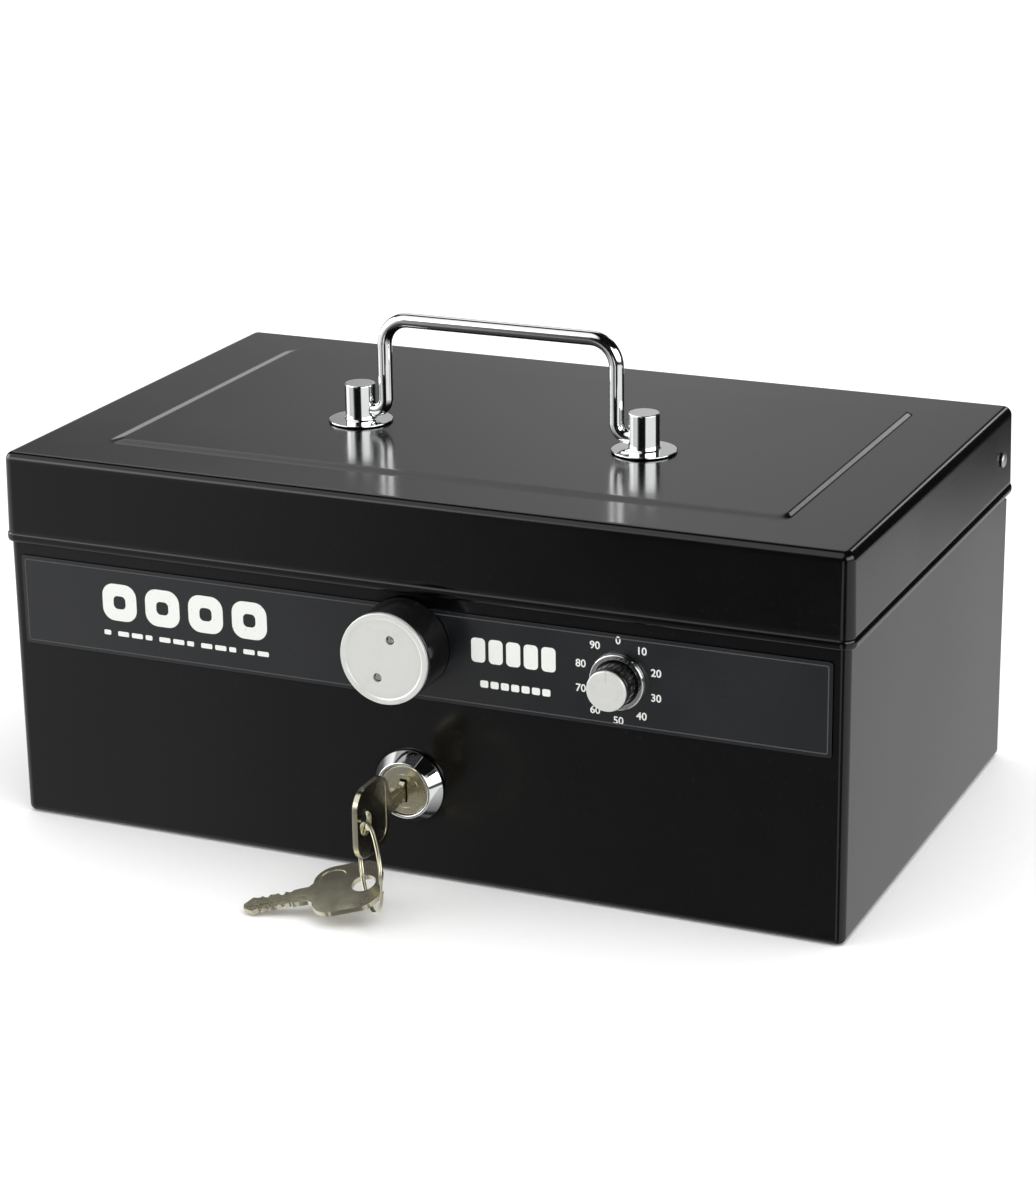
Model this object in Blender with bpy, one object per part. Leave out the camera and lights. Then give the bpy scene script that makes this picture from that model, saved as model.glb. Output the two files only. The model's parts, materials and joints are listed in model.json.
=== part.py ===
"""Steel cash box with a carrying handle, latch knob, combination dial, key lock and coin tray.

Frame: metres, +Z up, origin at the centre of the underside, front towards -Y.
Every sub-part is one closed solid in its own object. Moving sub-parts hang from an
empty that sits on their joint's axis. Turned sub-parts are made around the Y axis.
"""

import math

import bmesh
import bpy
from mathutils import Matrix, Vector

MM = 0.001

# Sheet metal shells
LID_HALF_WIDTH = 150 * MM
LID_HALF_DEPTH = 90 * MM
LID_CORNER = 4 * MM
LID_TOP = 130 * MM
LID_EDGE = 99 * MM
SHEET = 0.8 * MM
GAP = 0.3 * MM
HOLE_REACH = 3 * MM
LID_TOP_RADIUS = 3 * MM
HEM_HEIGHT = 3 * MM
HEM_PROUD = 0.5 * MM
PANEL_HALF_WIDTH = 118.4 * MM
PANEL_FRONT = -62.5 * MM
PANEL_BACK = 65.7 * MM
PANEL_RISE = 1 * MM
PANEL_SLOPE = 2.4 * MM
PANEL_CORNER = 3 * MM
BODY_INSET = SHEET + GAP
BODY_TOP = 118 * MM
BODY_BACK_TOP = 96.3 * MM
BODY_FOOT_RADIUS = 2.5 * MM
SLIT_OUTER = LID_HALF_WIDTH - SHEET
SLIT_INNER = 147.6 * MM

# Hinge of the lid
HINGE_Y = 75 * MM
HINGE_Z = 114 * MM
RIVET_SHANK = 1.5 * MM
RIVET_HEAD = 2.6 * MM
RIVET_TAIL = 1.2 * MM
RIVET_DOME = 0.9 * MM
UPSTAND_END = 83.5 * MM
UPSTAND_ROUND = 8 * MM

# Walls the other pieces refer to
FRONT_OUTER = -(LID_HALF_DEPTH - BODY_INSET)
FRONT_INNER = FRONT_OUTER + SHEET
SIDE_INNER = LID_HALF_WIDTH - BODY_INSET - SHEET
PANEL_TOP = LID_TOP + PANEL_RISE
PANEL_UNDER = PANEL_TOP - SHEET

# Label plate across the front
LABEL_HALF_WIDTH = 144 * MM
LABEL_BOTTOM = 63.3 * MM
LABEL_TOP = 94.5 * MM
LABEL_THICKNESS = 0.5 * MM
LABEL_BACK = FRONT_OUTER - GAP
LABEL_FRONT = LABEL_BACK - LABEL_THICKNESS

# Handle
HANDLE_HALF_SPAN = 42.5 * MM
HANDLE_Y = -14 * MM
HANDLE_TOP = 168 * MM
HANDLE_PIVOT_Z = 135.5 * MM
HANDLE_WIRE = 2.5 * MM
HANDLE_BEND = 9 * MM
HANDLE_FOOT_BEND = 4.5 * MM
HANDLE_END = 51.5 * MM
POST_X = 52.3 * MM
POST_RADIUS = 5.25 * MM
POST_TOP = 144.5 * MM
POST_FLANGE = 11 * MM
POST_STUD = 2 * MM
POST_STUD_END = 125 * MM
NUT_RADIUS = 4.6 * MM
NUT_HEIGHT = 3 * MM

# Latch knob, its spindle and its hook
LATCH_Z = 82 * MM
KNOB_RADIUS = 15.5 * MM
KNOB_FRONT = -105 * MM
KNOB_FACE_FRONT = -106.8 * MM
SPINDLE_RADIUS = 4 * MM
SPINDLE_END = -60.4 * MM
KNOB_SCREW_OFFSET = 7 * MM
KNOB_SCREW_TILT = math.radians(70)
KNOB_SCREW_HEAD = 1.1 * MM
KNOB_SCREW_SHANK = 0.7 * MM
KNOB_SCREW_SEAT = 1.5 * MM
KNOB_SOCKET = 4 * MM
CLIP_WIDTH = 2.6 * MM
HOOK_FRONT = -83.5 * MM
HOOK_BACK = -81.5 * MM
HOOK_HUB = 7 * MM
NOSE_INNER = 9.5 * MM
NOSE_OUTER = 13.5 * MM
LEVER_FRONT = -71.7 * MM
LEVER_BACK = -69.7 * MM
LEVER_SWING = math.radians(22.5)
TAIL_LENGTH = 28 * MM
TAIL_HALF = 2.5 * MM
PIN_REACH = 13 * MM
PIN_RADIUS = 1.5 * MM

# Fence bar between the hook and the dial wheel
FENCE_FRONT = -74.4 * MM
FENCE_BACK = -72.4 * MM
FENCE_TRAVEL = 10 * MM
FENCE_UPPER_Z = 94.2 * MM
FENCE_GUIDE_UPPER_X = 16 * MM
FENCE_GUIDE_LOWER_X = 38.5 * MM
FENCE_RISER_LEFT = 28 * MM
FENCE_RISER_RIGHT = 37 * MM
FENCE_HALF = 3.8 * MM
GUIDE_HEAD = 2.6 * MM
GUIDE_STEM = 2.4 * MM

# Combination dial
DIAL_X = 73.6 * MM
DIAL_Z = 79 * MM
DIAL_RADIUS = 7 * MM
DIAL_FRONT = -98.6 * MM
DIAL_FACE_FRONT = -100.2 * MM
DIAL_SPINDLE = 2.5 * MM
SKIRT_OUTER = 9.6 * MM
SKIRT_INNER = 7.4 * MM
SKIRT_FRONT = -91.7 * MM
WHEEL_RADIUS = 16 * MM
WHEEL_FRONT = -75.6 * MM
WHEEL_BACK = -71.2 * MM
GATE_HALF = 2.2 * MM
GATE_DEPTH = 4 * MM
TONGUE_HALF = 1.6 * MM
TONGUE_LENGTH = 4 * MM
WHEEL_HUB_RADIUS = 5 * MM
WHEEL_HUB_DEPTH = 3 * MM
DIAL_SOCKET = 3 * MM

# Key lock
LOCK_Z = 32.5 * MM
BEZEL_RADIUS = 12.3 * MM
BEZEL_RIM = 9.6 * MM
BEZEL_FRONT = -95 * MM
BARREL_RADIUS = 9.5 * MM
BARREL_END = -72.6 * MM
PLUG_FACE = -94.5 * MM
PLUG_HEAD = 8.4 * MM
PLUG_BODY = 6 * MM
PLUG_STEP = -91.5 * MM
PLUG_BOSS = 4 * MM
KEYWAY_END = -82 * MM
KEYWAY_HALF_WIDTH = 1.25 * MM
KEYWAY_HALF_HEIGHT = 4 * MM
CAM_REACH = 22.5 * MM
CAM_HALF = 4 * MM
LOCK_NUT_RADIUS = 13.5 * MM
CAM_SCREW_HEAD = 4.8 * MM
CAM_SCREW_LENGTH = 5 * MM

# Keys and ring
BOW_HOLE_Y = -124 * MM
BOW_HOLE = 4 * MM
BOW_NEAR = 17 * MM
BOW_FAR = -6 * MM
BOW_HALF = 12 * MM
BOW_CORNER = 7 * MM
KEY_THICKNESS = 1.8 * MM
BLADE_END = 40 * MM
BLADE_HALF = 3.6 * MM
RING_RADIUS = 14.5 * MM
RING_WIRE = 0.75 * MM
RING_HEADING = Vector((0.64, -0.77, 0)).normalized()
RING_AT_KEY = math.radians(-36)
RING_AT_SPARE = math.radians(-136)
SPARE_HEADING = math.radians(20)
SPARE_DIP = math.radians(12.5)
SPARE_ROLL = math.radians(-14)

# Mechanism cover inside the front wall
COVER_LEFT = -44 * MM
COVER_RIGHT = 100 * MM
COVER_BOTTOM = 6 * MM
COVER_TOP = 99 * MM
COVER_BACK = -62 * MM
COVER_FRONT = FRONT_INNER + GAP
STUD_RADIUS = 4 * MM
STUD_PLACES = {"left": (-36 * MM, 50 * MM), "right": (91 * MM, 40 * MM)}
COVER_CORNER = 4 * MM
COVER_SCREW = 1.5 * MM
COVER_SCREW_HEAD = 3 * MM
COVER_SCREW_LENGTH = 9 * MM
STRIKER_SLOT_HALF = 20 * MM
STRIKER_SLOT_BACK = -78 * MM

# Striker under the lid
STRIKER_FRONT = -85.2 * MM
STRIKER_BACK = -84 * MM
STRIKER_FOOT = 89.5 * MM
STRIKER_LIP_BACK = -80.8 * MM
STRIKER_LIP_HALF = 3.5 * MM
STRIKER_HALF = 15 * MM
STRIKER_NECK_HALF = 7 * MM
STRIKER_SHOULDER = 4 * MM
STRIKER_FLANGE = 12 * MM

# Coin tray and its ledges
TRAY_HALF_WIDTH = 146 * MM
TRAY_FRONT = -59 * MM
TRAY_BACK = 56 * MM
TRAY_BOTTOM = 62 * MM
TRAY_TOP = 90 * MM
TRAY_WALL = 1.6 * MM
TRAY_CORNER = 5 * MM
CUP_COUNT = 5
CUP_BACK = -4 * MM
CUP_RADIUS = 25 * MM
NOTE_COUNT = 3
LEDGE_TOP = TRAY_BOTTOM - GAP
LEDGE_REACH = 7 * MM
LEDGE_DROP = 9 * MM
LEDGE_HALF_LENGTH = 50 * MM
LEDGE_SHEET = 1.2 * MM

ROUND_STEPS = 32
FINE_STEPS = 24
CORNER_STEPS = 4


# ---------------------------------------------------------------- scene helpers


def clear_scene():
    for obj in list(bpy.data.objects):
        bpy.data.objects.remove(obj, do_unlink=True)


def finish_of(name, colour, roughness, metallic):
    """Principled material with the given base colour, roughness and metallic value."""
    material = bpy.data.materials.new(name)
    material.use_nodes = True
    shader = material.node_tree.nodes["Principled BSDF"]
    shader.inputs["Base Color"].default_value = (*colour, 1)
    shader.inputs["Roughness"].default_value = roughness
    shader.inputs["Metallic"].default_value = metallic
    material.diffuse_color = (*colour, 1)
    return material


def add_pivot(name, place, parent=None):
    """Empty on a joint's axis, at a world position."""
    pivot = bpy.data.objects.new(name, None)
    bpy.context.collection.objects.link(pivot)
    pivot.empty_display_size = 10 * MM
    pivot["place"] = list(place)
    pivot.location = Vector(place)
    if parent is not None:
        pivot.parent = parent
        pivot.location = Vector(place) - Vector(parent["place"])
    return pivot


def new_object(name, mesh_data, smooth_below=40):
    """Object from a bmesh, with faces out and round stretches shaded smooth."""
    bmesh.ops.recalc_face_normals(mesh_data, faces=mesh_data.faces)
    mesh = bpy.data.meshes.new(name)
    mesh_data.to_mesh(mesh)
    mesh_data.free()
    mesh.shade_smooth()
    mesh.set_sharp_from_angle(angle=math.radians(smooth_below))
    obj = bpy.data.objects.new(name, mesh)
    bpy.context.collection.objects.link(obj)
    return obj


def hang(obj, pivot, place):
    """Puts an object at a world position, under a pivot where it has one."""
    obj.location = Vector(place)
    if pivot is not None:
        obj.parent = pivot
        obj.location = Vector(place) - Vector(pivot["place"])
    return obj


def sub_part(name, mesh_data, material, pivot=None, place=(0, 0, 0)):
    """Named sub-part whose mesh is measured from the given place."""
    obj = new_object(name, mesh_data)
    obj.data.materials.append(material)
    return hang(obj, pivot, place)


def shape_with(obj, tool_mesh, operation, place=None):
    """Cuts or joins a helper solid, measured from place or from the object's own place."""
    tool = new_object(f"tool_{obj.name}_{len(obj.modifiers)}", tool_mesh)
    tool.hide_render = True
    tool.display_type = "WIRE"
    tool.parent = obj.parent
    tool.location = obj.location.copy()
    if place is not None:
        origin = Vector(obj.parent["place"]) if obj.parent else Vector()
        tool.location = Vector(place) - origin
    step = obj.modifiers.new(operation.title(), "BOOLEAN")
    step.operation = operation
    step.solver = "EXACT"
    step.object = tool
    return obj


def cut(obj, tool_mesh, place=None):
    return shape_with(obj, tool_mesh, "DIFFERENCE", place)


def join(obj, tool_mesh, place=None):
    return shape_with(obj, tool_mesh, "UNION", place)


# ---------------------------------------------------------------- mesh helpers


def join_rings(mesh_data, rings, closed):
    """Sides between neighbouring rings of points; a closed run returns to its start."""
    count = len(rings)
    for index in range(count if closed else count - 1):
        lower = rings[index]
        upper = rings[(index + 1) % count]
        for side in range(len(lower)):
            after = (side + 1) % len(lower)
            mesh_data.faces.new((lower[side], lower[after], upper[after], upper[side]))
    if not closed:
        mesh_data.faces.new(rings[0])
        mesh_data.faces.new(rings[-1])


def arc(centre, radius, start, end, steps):
    """Points along an arc; angles in degrees, counter-clockwise from the first axis."""
    points = []
    for step in range(steps + 1):
        angle = math.radians(start + (end - start) * step / steps)
        points.append((centre[0] + radius * math.cos(angle), centre[1] + radius * math.sin(angle)))
    return points


def rounded_outline(left, right, bottom, top, radius, steps=CORNER_STEPS):
    """Rectangle with rounded corners, counter-clockwise."""
    points = arc((right - radius, bottom + radius), radius, -90, 0, steps)
    points += arc((right - radius, top - radius), radius, 0, 90, steps)
    points += arc((left + radius, top - radius), radius, 90, 180, steps)
    points += arc((left + radius, bottom + radius), radius, 180, 270, steps)
    return points


def loft(levels):
    """Solid through outlines of equal point count, each a list of points with its height."""
    mesh_data = bmesh.new()
    rings = []
    for outline, height in levels:
        rings.append([mesh_data.verts.new((x, y, height)) for x, y in outline])
    join_rings(mesh_data, rings, closed=False)
    return mesh_data


def turned(profile, hollow=False, steps=ROUND_STEPS):
    """Solid turned about Y from (y, radius) pairs; a hollow profile is a closed loop."""
    mesh_data = bmesh.new()
    rings = []
    for y, radius in profile:
        ring = []
        for step in range(steps):
            angle = 2 * math.pi * step / steps
            ring.append(mesh_data.verts.new((radius * math.sin(angle), y, radius * math.cos(angle))))
        rings.append(ring)
    join_rings(mesh_data, rings, closed=hollow)
    return mesh_data


def upright(mesh_data):
    """Turns a solid made about the Y axis so that its -Y end points up."""
    turn = Matrix.Rotation(math.radians(-90), 4, "X")
    bmesh.ops.transform(mesh_data, matrix=turn, verts=mesh_data.verts)
    return mesh_data


def crosswise(mesh_data):
    """Turns a solid made about the Y axis so that its +Y end points towards +X."""
    turn = Matrix.Rotation(math.radians(-90), 4, "Z")
    bmesh.ops.transform(mesh_data, matrix=turn, verts=mesh_data.verts)
    return mesh_data


def rod(radius, start, end, steps=FINE_STEPS):
    return turned([(start, radius), (end, radius)], steps=steps)


def front_plate(outline, front, back):
    """Plate with an (x, z) outline between two depths."""
    mesh_data = bmesh.new()
    rings = []
    for depth in (front, back):
        rings.append([mesh_data.verts.new((x, depth, z)) for x, z in outline])
    join_rings(mesh_data, rings, closed=False)
    return mesh_data


def side_plate(outline, left, right):
    """Plate with a (y, z) outline between two x positions."""
    mesh_data = bmesh.new()
    rings = []
    for x in (left, right):
        rings.append([mesh_data.verts.new((x, y, z)) for y, z in outline])
    join_rings(mesh_data, rings, closed=False)
    return mesh_data


def block(low, high):
    corners = [(low[0], low[1]), (high[0], low[1]), (high[0], high[1]), (low[0], high[1])]
    return loft([(corners, low[2]), (corners, high[2])])


def swept_wire(path, radius, closed=False, steps=12):
    """Round wire along a flat path; the path's points lie in one plane."""
    mesh_data = bmesh.new()
    count = len(path)
    normal = (path[1] - path[0]).cross(path[count // 2] - path[0]).normalized()
    rings = []
    for index, point in enumerate(path):
        before = path[index - 1] if closed or index else point
        after = path[(index + 1) % count] if closed or index < count - 1 else point
        heading = (after - before).normalized()
        side = heading.cross(normal)
        ring = []
        for step in range(steps):
            angle = 2 * math.pi * step / steps
            offset = side * math.cos(angle) + normal * math.sin(angle)
            ring.append(mesh_data.verts.new(point + offset * radius))
        rings.append(ring)
    join_rings(mesh_data, rings, closed)
    return mesh_data


def capsule(reach, half, back_reach=0.0, turn=0.0, steps=8):
    """Outline of a bar with round ends from -back_reach to +reach along a turned z axis."""
    points = arc((0, reach), half, 0, 180, steps) + arc((0, -back_reach), half, 180, 360, steps)
    sine = math.sin(turn)
    cosine = math.cos(turn)
    return [(x * cosine + z * sine, -x * sine + z * cosine) for x, z in points]


# ---------------------------------------------------------------- shells


def lid_ring(inset, height):
    """Level of the lid at a distance inside its outer walls."""
    outline = rounded_outline(
        -LID_HALF_WIDTH + inset,
        LID_HALF_WIDTH - inset,
        -LID_HALF_DEPTH + inset,
        LID_HALF_DEPTH - inset,
        LID_CORNER - inset,
    )
    return outline, height


def panel_ring(grow, height):
    """Level of the lid's raised panel, grown by a margin."""
    outline = rounded_outline(
        -PANEL_HALF_WIDTH - grow,
        PANEL_HALF_WIDTH + grow,
        PANEL_FRONT - grow,
        PANEL_BACK + grow,
        PANEL_CORNER + grow,
    )
    return outline, height


def rounded_edge(radius, inset, height, steps=4):
    """(inset, height) pairs from a wall at the given inset up and over onto the top."""
    pairs = []
    for step in range(steps + 1):
        angle = math.radians(90 * step / steps)
        rise = height - radius + radius * math.sin(angle)
        pairs.append((inset + radius - radius * math.cos(angle), rise))
    return pairs


def make_lid(material, pivot):
    inner = [panel_ring(0, PANEL_UNDER), panel_ring(PANEL_SLOPE, PANEL_UNDER - PANEL_RISE)]
    inner_edge = rounded_edge(LID_TOP_RADIUS - SHEET, SHEET, LID_TOP - SHEET)
    inner += [lid_ring(*pair) for pair in reversed(inner_edge)]
    hem = [
        lid_ring(SHEET, LID_EDGE + 0.2 * MM),
        lid_ring(SHEET / 2, LID_EDGE),
        lid_ring(-HEM_PROUD * 0.6, LID_EDGE + 0.1 * MM),
        lid_ring(-HEM_PROUD, LID_EDGE + 0.6 * MM),
        lid_ring(-HEM_PROUD, LID_EDGE + HEM_HEIGHT - 0.8 * MM),
        lid_ring(0, LID_EDGE + HEM_HEIGHT),
    ]
    outer_edge = rounded_edge(LID_TOP_RADIUS, 0, LID_TOP)
    outer = [lid_ring(*pair) for pair in outer_edge]
    outer += [panel_ring(PANEL_SLOPE, LID_TOP), panel_ring(0, PANEL_TOP)]
    lid = sub_part("lid", loft(inner + hem + outer), material)
    for side in (-1, 1):
        low = (min(side * SLIT_INNER, side * SLIT_OUTER), UPSTAND_END + MM, LID_EDGE - MM)
        high = (max(side * SLIT_INNER, side * SLIT_OUTER), LID_HALF_DEPTH + MM, LID_TOP - 4 * MM)
        cut(lid, block(low, high))
        hole = crosswise(rod(RIVET_SHANK + GAP, -HOLE_REACH, HOLE_REACH))
        cut(lid, hole, (side * LID_HALF_WIDTH, HINGE_Y, HINGE_Z))
        stud_hole = upright(rod(POST_STUD + GAP, -HOLE_REACH, HOLE_REACH))
        cut(lid, stud_hole, (side * POST_X, HANDLE_Y, LID_TOP))
    return rehang(lid, pivot)


def rehang(obj, pivot):
    """Moves an object's origin to its pivot and leaves its shape in place."""
    place = Vector(pivot["place"])
    obj.data.transform(Matrix.Translation(-place))
    obj.parent = pivot
    for step in obj.modifiers:
        tool = step.object
        tool.location -= place
        tool.parent = pivot
    return obj


def make_body(material):
    inner_foot = BODY_FOOT_RADIUS - SHEET
    levels = []
    for inset, rise in reversed(rounded_edge(inner_foot, BODY_INSET + SHEET, inner_foot)):
        levels.append(lid_ring(inset, SHEET + inner_foot - rise))
    levels.append(lid_ring(BODY_INSET + SHEET, BODY_TOP))
    levels.append(lid_ring(BODY_INSET, BODY_TOP))
    for inset, rise in rounded_edge(BODY_FOOT_RADIUS, BODY_INSET, BODY_FOOT_RADIUS):
        levels.append(lid_ring(inset, BODY_FOOT_RADIUS - rise))
    body = sub_part("box_body", loft(levels), material)
    round_centre = (UPSTAND_END - UPSTAND_ROUND, BODY_TOP - UPSTAND_ROUND)
    notch = [(LID_HALF_DEPTH + MM, BODY_BACK_TOP), (LID_HALF_DEPTH + MM, BODY_TOP + MM)]
    notch += [(round_centre[0], BODY_TOP + MM), (round_centre[0], BODY_TOP)]
    notch += arc(round_centre, UPSTAND_ROUND, 90, 0, 6)[1:]
    notch += [(UPSTAND_END, BODY_BACK_TOP)]
    cut(body, side_plate(notch, -LID_HALF_WIDTH - MM, LID_HALF_WIDTH + MM))
    for side in (-1, 1):
        hole = crosswise(rod(RIVET_SHANK + GAP, -HOLE_REACH, HOLE_REACH))
        cut(body, hole, (side * SIDE_INNER, HINGE_Y, HINGE_Z))
    for x, z, radius in (
        (0, LATCH_Z, SPINDLE_RADIUS),
        (DIAL_X, DIAL_Z, DIAL_SPINDLE),
        (0, LOCK_Z, BARREL_RADIUS),
    ):
        cut(body, rod(radius + GAP, -HOLE_REACH, HOLE_REACH), (x, FRONT_OUTER, z))
    return body


def make_hinge_rivet(name, side, material):
    """Domed rivet through the lid's skirt and the body's wall."""
    head = LID_HALF_WIDTH + GAP
    tail = SIDE_INNER - GAP
    profile = [(tail - RIVET_TAIL, RIVET_HEAD * 0.7), (tail - RIVET_TAIL * 0.7, RIVET_HEAD)]
    profile += [(tail, RIVET_HEAD), (tail, RIVET_SHANK), (head, RIVET_SHANK), (head, RIVET_HEAD)]
    profile += [(head + RIVET_DOME * 0.55, RIVET_HEAD * 0.85), (head + RIVET_DOME, RIVET_HEAD * 0.45)]
    rivet = crosswise(turned(profile, steps=FINE_STEPS))
    if side < 0:
        bmesh.ops.transform(rivet, matrix=Matrix.Rotation(math.pi, 4, "Z"), verts=rivet.verts)
    return sub_part(name, rivet, material, place=(0, HINGE_Y, HINGE_Z))


def make_label(material):
    outline = rounded_outline(-LABEL_HALF_WIDTH, LABEL_HALF_WIDTH, LABEL_BOTTOM, LABEL_TOP, MM)
    label = sub_part("front_label", front_plate(outline, LABEL_FRONT, LABEL_BACK), material)
    for x, z, radius in ((0, LATCH_Z, SPINDLE_RADIUS), (DIAL_X, DIAL_Z, DIAL_SPINDLE)):
        cut(label, rod(radius + GAP, -HOLE_REACH, HOLE_REACH), (x, LABEL_FRONT, z))
    return label


def make_striker(material, pivot):
    """Bent plate welded under the lid's top, with a lip for the latch hook."""
    top = LID_TOP - SHEET - GAP
    neck = STRIKER_NECK_HALF
    shoulder = COVER_TOP + STRIKER_SHOULDER
    wide = [(-STRIKER_HALF, top), (-STRIKER_HALF, shoulder), (-neck, COVER_TOP)]
    wide += [(-neck, STRIKER_FOOT), (neck, STRIKER_FOOT), (neck, COVER_TOP)]
    wide += [(STRIKER_HALF, shoulder), (STRIKER_HALF, top)]
    striker = sub_part("lid_striker", front_plate(wide, STRIKER_FRONT, STRIKER_BACK), material)
    bend = (STRIKER_FRONT + STRIKER_BACK) / 2
    flange_low = (-STRIKER_HALF, bend, top - SHEET)
    join(striker, block(flange_low, (STRIKER_HALF, STRIKER_BACK + STRIKER_FLANGE, top)))
    lip_low = (-STRIKER_LIP_HALF, bend, STRIKER_FOOT)
    lip_high = (STRIKER_LIP_HALF, STRIKER_LIP_BACK, STRIKER_FOOT + MM)
    join(striker, block(lip_low, lip_high))
    return rehang(striker, pivot)


# ---------------------------------------------------------------- handle


def make_post(name, side, material, pivot):
    """Chromed post with a thin flange below, a bore for the handle and a stud through the lid."""
    foot = PANEL_TOP + GAP
    profile = [(-POST_TOP, POST_RADIUS - 1.2 * MM), (-POST_TOP + 0.4 * MM, POST_RADIUS - 0.4 * MM)]
    profile += [(-POST_TOP + 1.2 * MM, POST_RADIUS), (-foot - 1.6 * MM, POST_RADIUS)]
    profile += [(-foot - 1 * MM, POST_RADIUS + 0.8 * MM), (-foot - 0.8 * MM, POST_FLANGE - 0.4 * MM)]
    profile += [(-foot - 0.4 * MM, POST_FLANGE), (-foot, POST_FLANGE - 0.2 * MM)]
    profile += [(-foot, POST_STUD), (-POST_STUD_END, POST_STUD)]
    post = sub_part(name, upright(turned(profile)), material, pivot, (side * POST_X, HANDLE_Y, 0))
    reach = HANDLE_END - POST_X + GAP
    bore = crosswise(rod(HANDLE_WIRE + GAP, -side * 12 * MM, side * reach))
    return cut(post, bore, (side * POST_X, HANDLE_Y, HANDLE_PIVOT_Z))


def make_nut(name, side, material, pivot):
    """Hexagonal nut on the post's stud, under the lid."""
    top = PANEL_UNDER - GAP
    nut = upright(rod(NUT_RADIUS, -top, -top + NUT_HEIGHT, steps=6))
    nut = sub_part(name, nut, material, pivot, (side * POST_X, HANDLE_Y, 0))
    bore = upright(rod(POST_STUD + GAP, -2 * NUT_HEIGHT, 2 * NUT_HEIGHT))
    return cut(nut, bore, (side * POST_X, HANDLE_Y, top - NUT_HEIGHT / 2))


def handle_path():
    """Centre line of the handle's wire, from one post to the other."""
    half = HANDLE_HALF_SPAN
    top = HANDLE_TOP
    foot = HANDLE_FOOT_BEND
    right = [(HANDLE_END, HANDLE_PIVOT_Z)]
    right += arc((half + foot, HANDLE_PIVOT_Z + foot), foot, 270, 180, 5)
    right += arc((half - HANDLE_BEND, top - HANDLE_BEND), HANDLE_BEND, 0, 90, 7)
    left = [(-x, z) for x, z in reversed(right)]
    return [Vector((x, HANDLE_Y, z)) for x, z in right + left]


def make_handle(material, pivot):
    handle = sub_part("carry_handle", swept_wire(handle_path(), HANDLE_WIRE), material)
    return rehang(handle, pivot)


# ---------------------------------------------------------------- latch


def make_latch_knob(material, pivot):
    back = LABEL_FRONT - GAP
    profile = [(KNOB_FRONT, KNOB_RADIUS - 0.5 * MM), (KNOB_FRONT + 0.5 * MM, KNOB_RADIUS)]
    profile += [(back - 0.8 * MM, KNOB_RADIUS), (back, KNOB_RADIUS - 0.8 * MM)]
    knob = sub_part("latch_knob", turned(profile), material, pivot, (0, 0, LATCH_Z))
    cut(knob, rod(SPINDLE_RADIUS + GAP, KNOB_FRONT + KNOB_SOCKET, back + MM))
    for place in knob_screw_places():
        hole = rod(KNOB_SCREW_SHANK + GAP, -2 * MM, 5 * MM, steps=12)
        cut(knob, hole, (place[0], KNOB_FRONT, place[1]))
    return knob


def knob_screw_places():
    """(x, z) of the two screws in the knob's face."""
    reach_x = KNOB_SCREW_OFFSET * math.cos(KNOB_SCREW_TILT)
    reach_z = KNOB_SCREW_OFFSET * math.sin(KNOB_SCREW_TILT)
    return [(reach_x, LATCH_Z + reach_z), (-reach_x, LATCH_Z - reach_z)]


def make_knob_face(material, pivot):
    back = KNOB_FRONT - GAP
    rim = KNOB_RADIUS - 0.2 * MM
    profile = [(KNOB_FACE_FRONT + 0.3 * MM, rim - 2 * MM), (KNOB_FACE_FRONT, rim - 1.6 * MM)]
    profile += [(KNOB_FACE_FRONT, rim - 0.5 * MM), (KNOB_FACE_FRONT + 0.5 * MM, rim), (back, rim)]
    face = sub_part("latch_knob_face", turned(profile), material, pivot, (0, 0, LATCH_Z))
    for place in knob_screw_places():
        seat = rod(KNOB_SCREW_SEAT, -HOLE_REACH, HOLE_REACH, steps=16)
        cut(face, seat, (place[0], KNOB_FACE_FRONT, place[1]))
    return face


def make_knob_screw(name, place, material, pivot):
    """Small screw sunk in the knob's face."""
    head = KNOB_FACE_FRONT + 0.9 * MM
    profile = [(head, KNOB_SCREW_HEAD), (KNOB_FRONT - GAP, KNOB_SCREW_HEAD)]
    profile += [(KNOB_FRONT - GAP, KNOB_SCREW_SHANK), (KNOB_FRONT + 4.5 * MM, KNOB_SCREW_SHANK)]
    screw = turned(profile, steps=12)
    return sub_part(name, screw, material, pivot, (place[0], 0, place[1]))


def make_latch_spindle(material, pivot):
    front = KNOB_FRONT + KNOB_SOCKET + GAP
    profile = [(front, SPINDLE_RADIUS), (SPINDLE_END - 0.5 * MM, SPINDLE_RADIUS)]
    profile += [(SPINDLE_END, SPINDLE_RADIUS - 0.5 * MM)]
    spindle = turned(profile, steps=FINE_STEPS)
    return sub_part("latch_spindle", spindle, material, pivot, (0, 0, LATCH_Z))


def make_clip(name, shaft, x, z, material, pivot):
    """Open ring on a shaft's end, behind the mechanism cover."""
    front = COVER_BACK + GAP
    outer = shaft + CLIP_WIDTH
    outline = arc((0, 0), outer, -60, 240, 20) + arc((0, 0), shaft + GAP, 240, -60, 20)
    return sub_part(name, front_plate(outline, front, front + MM), material, pivot, (x, 0, z))


def nose_outline():
    """Hooked nose of the latch, from its web on the right to its tip near the top."""
    points = arc((0, 0), NOSE_OUTER, 60, -5, 9)
    points += arc((0, 0), HOOK_HUB * 0.8, -5, 12, 1)
    points += arc((0, 0), NOSE_INNER, 12, 60, 7)
    return points


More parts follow.
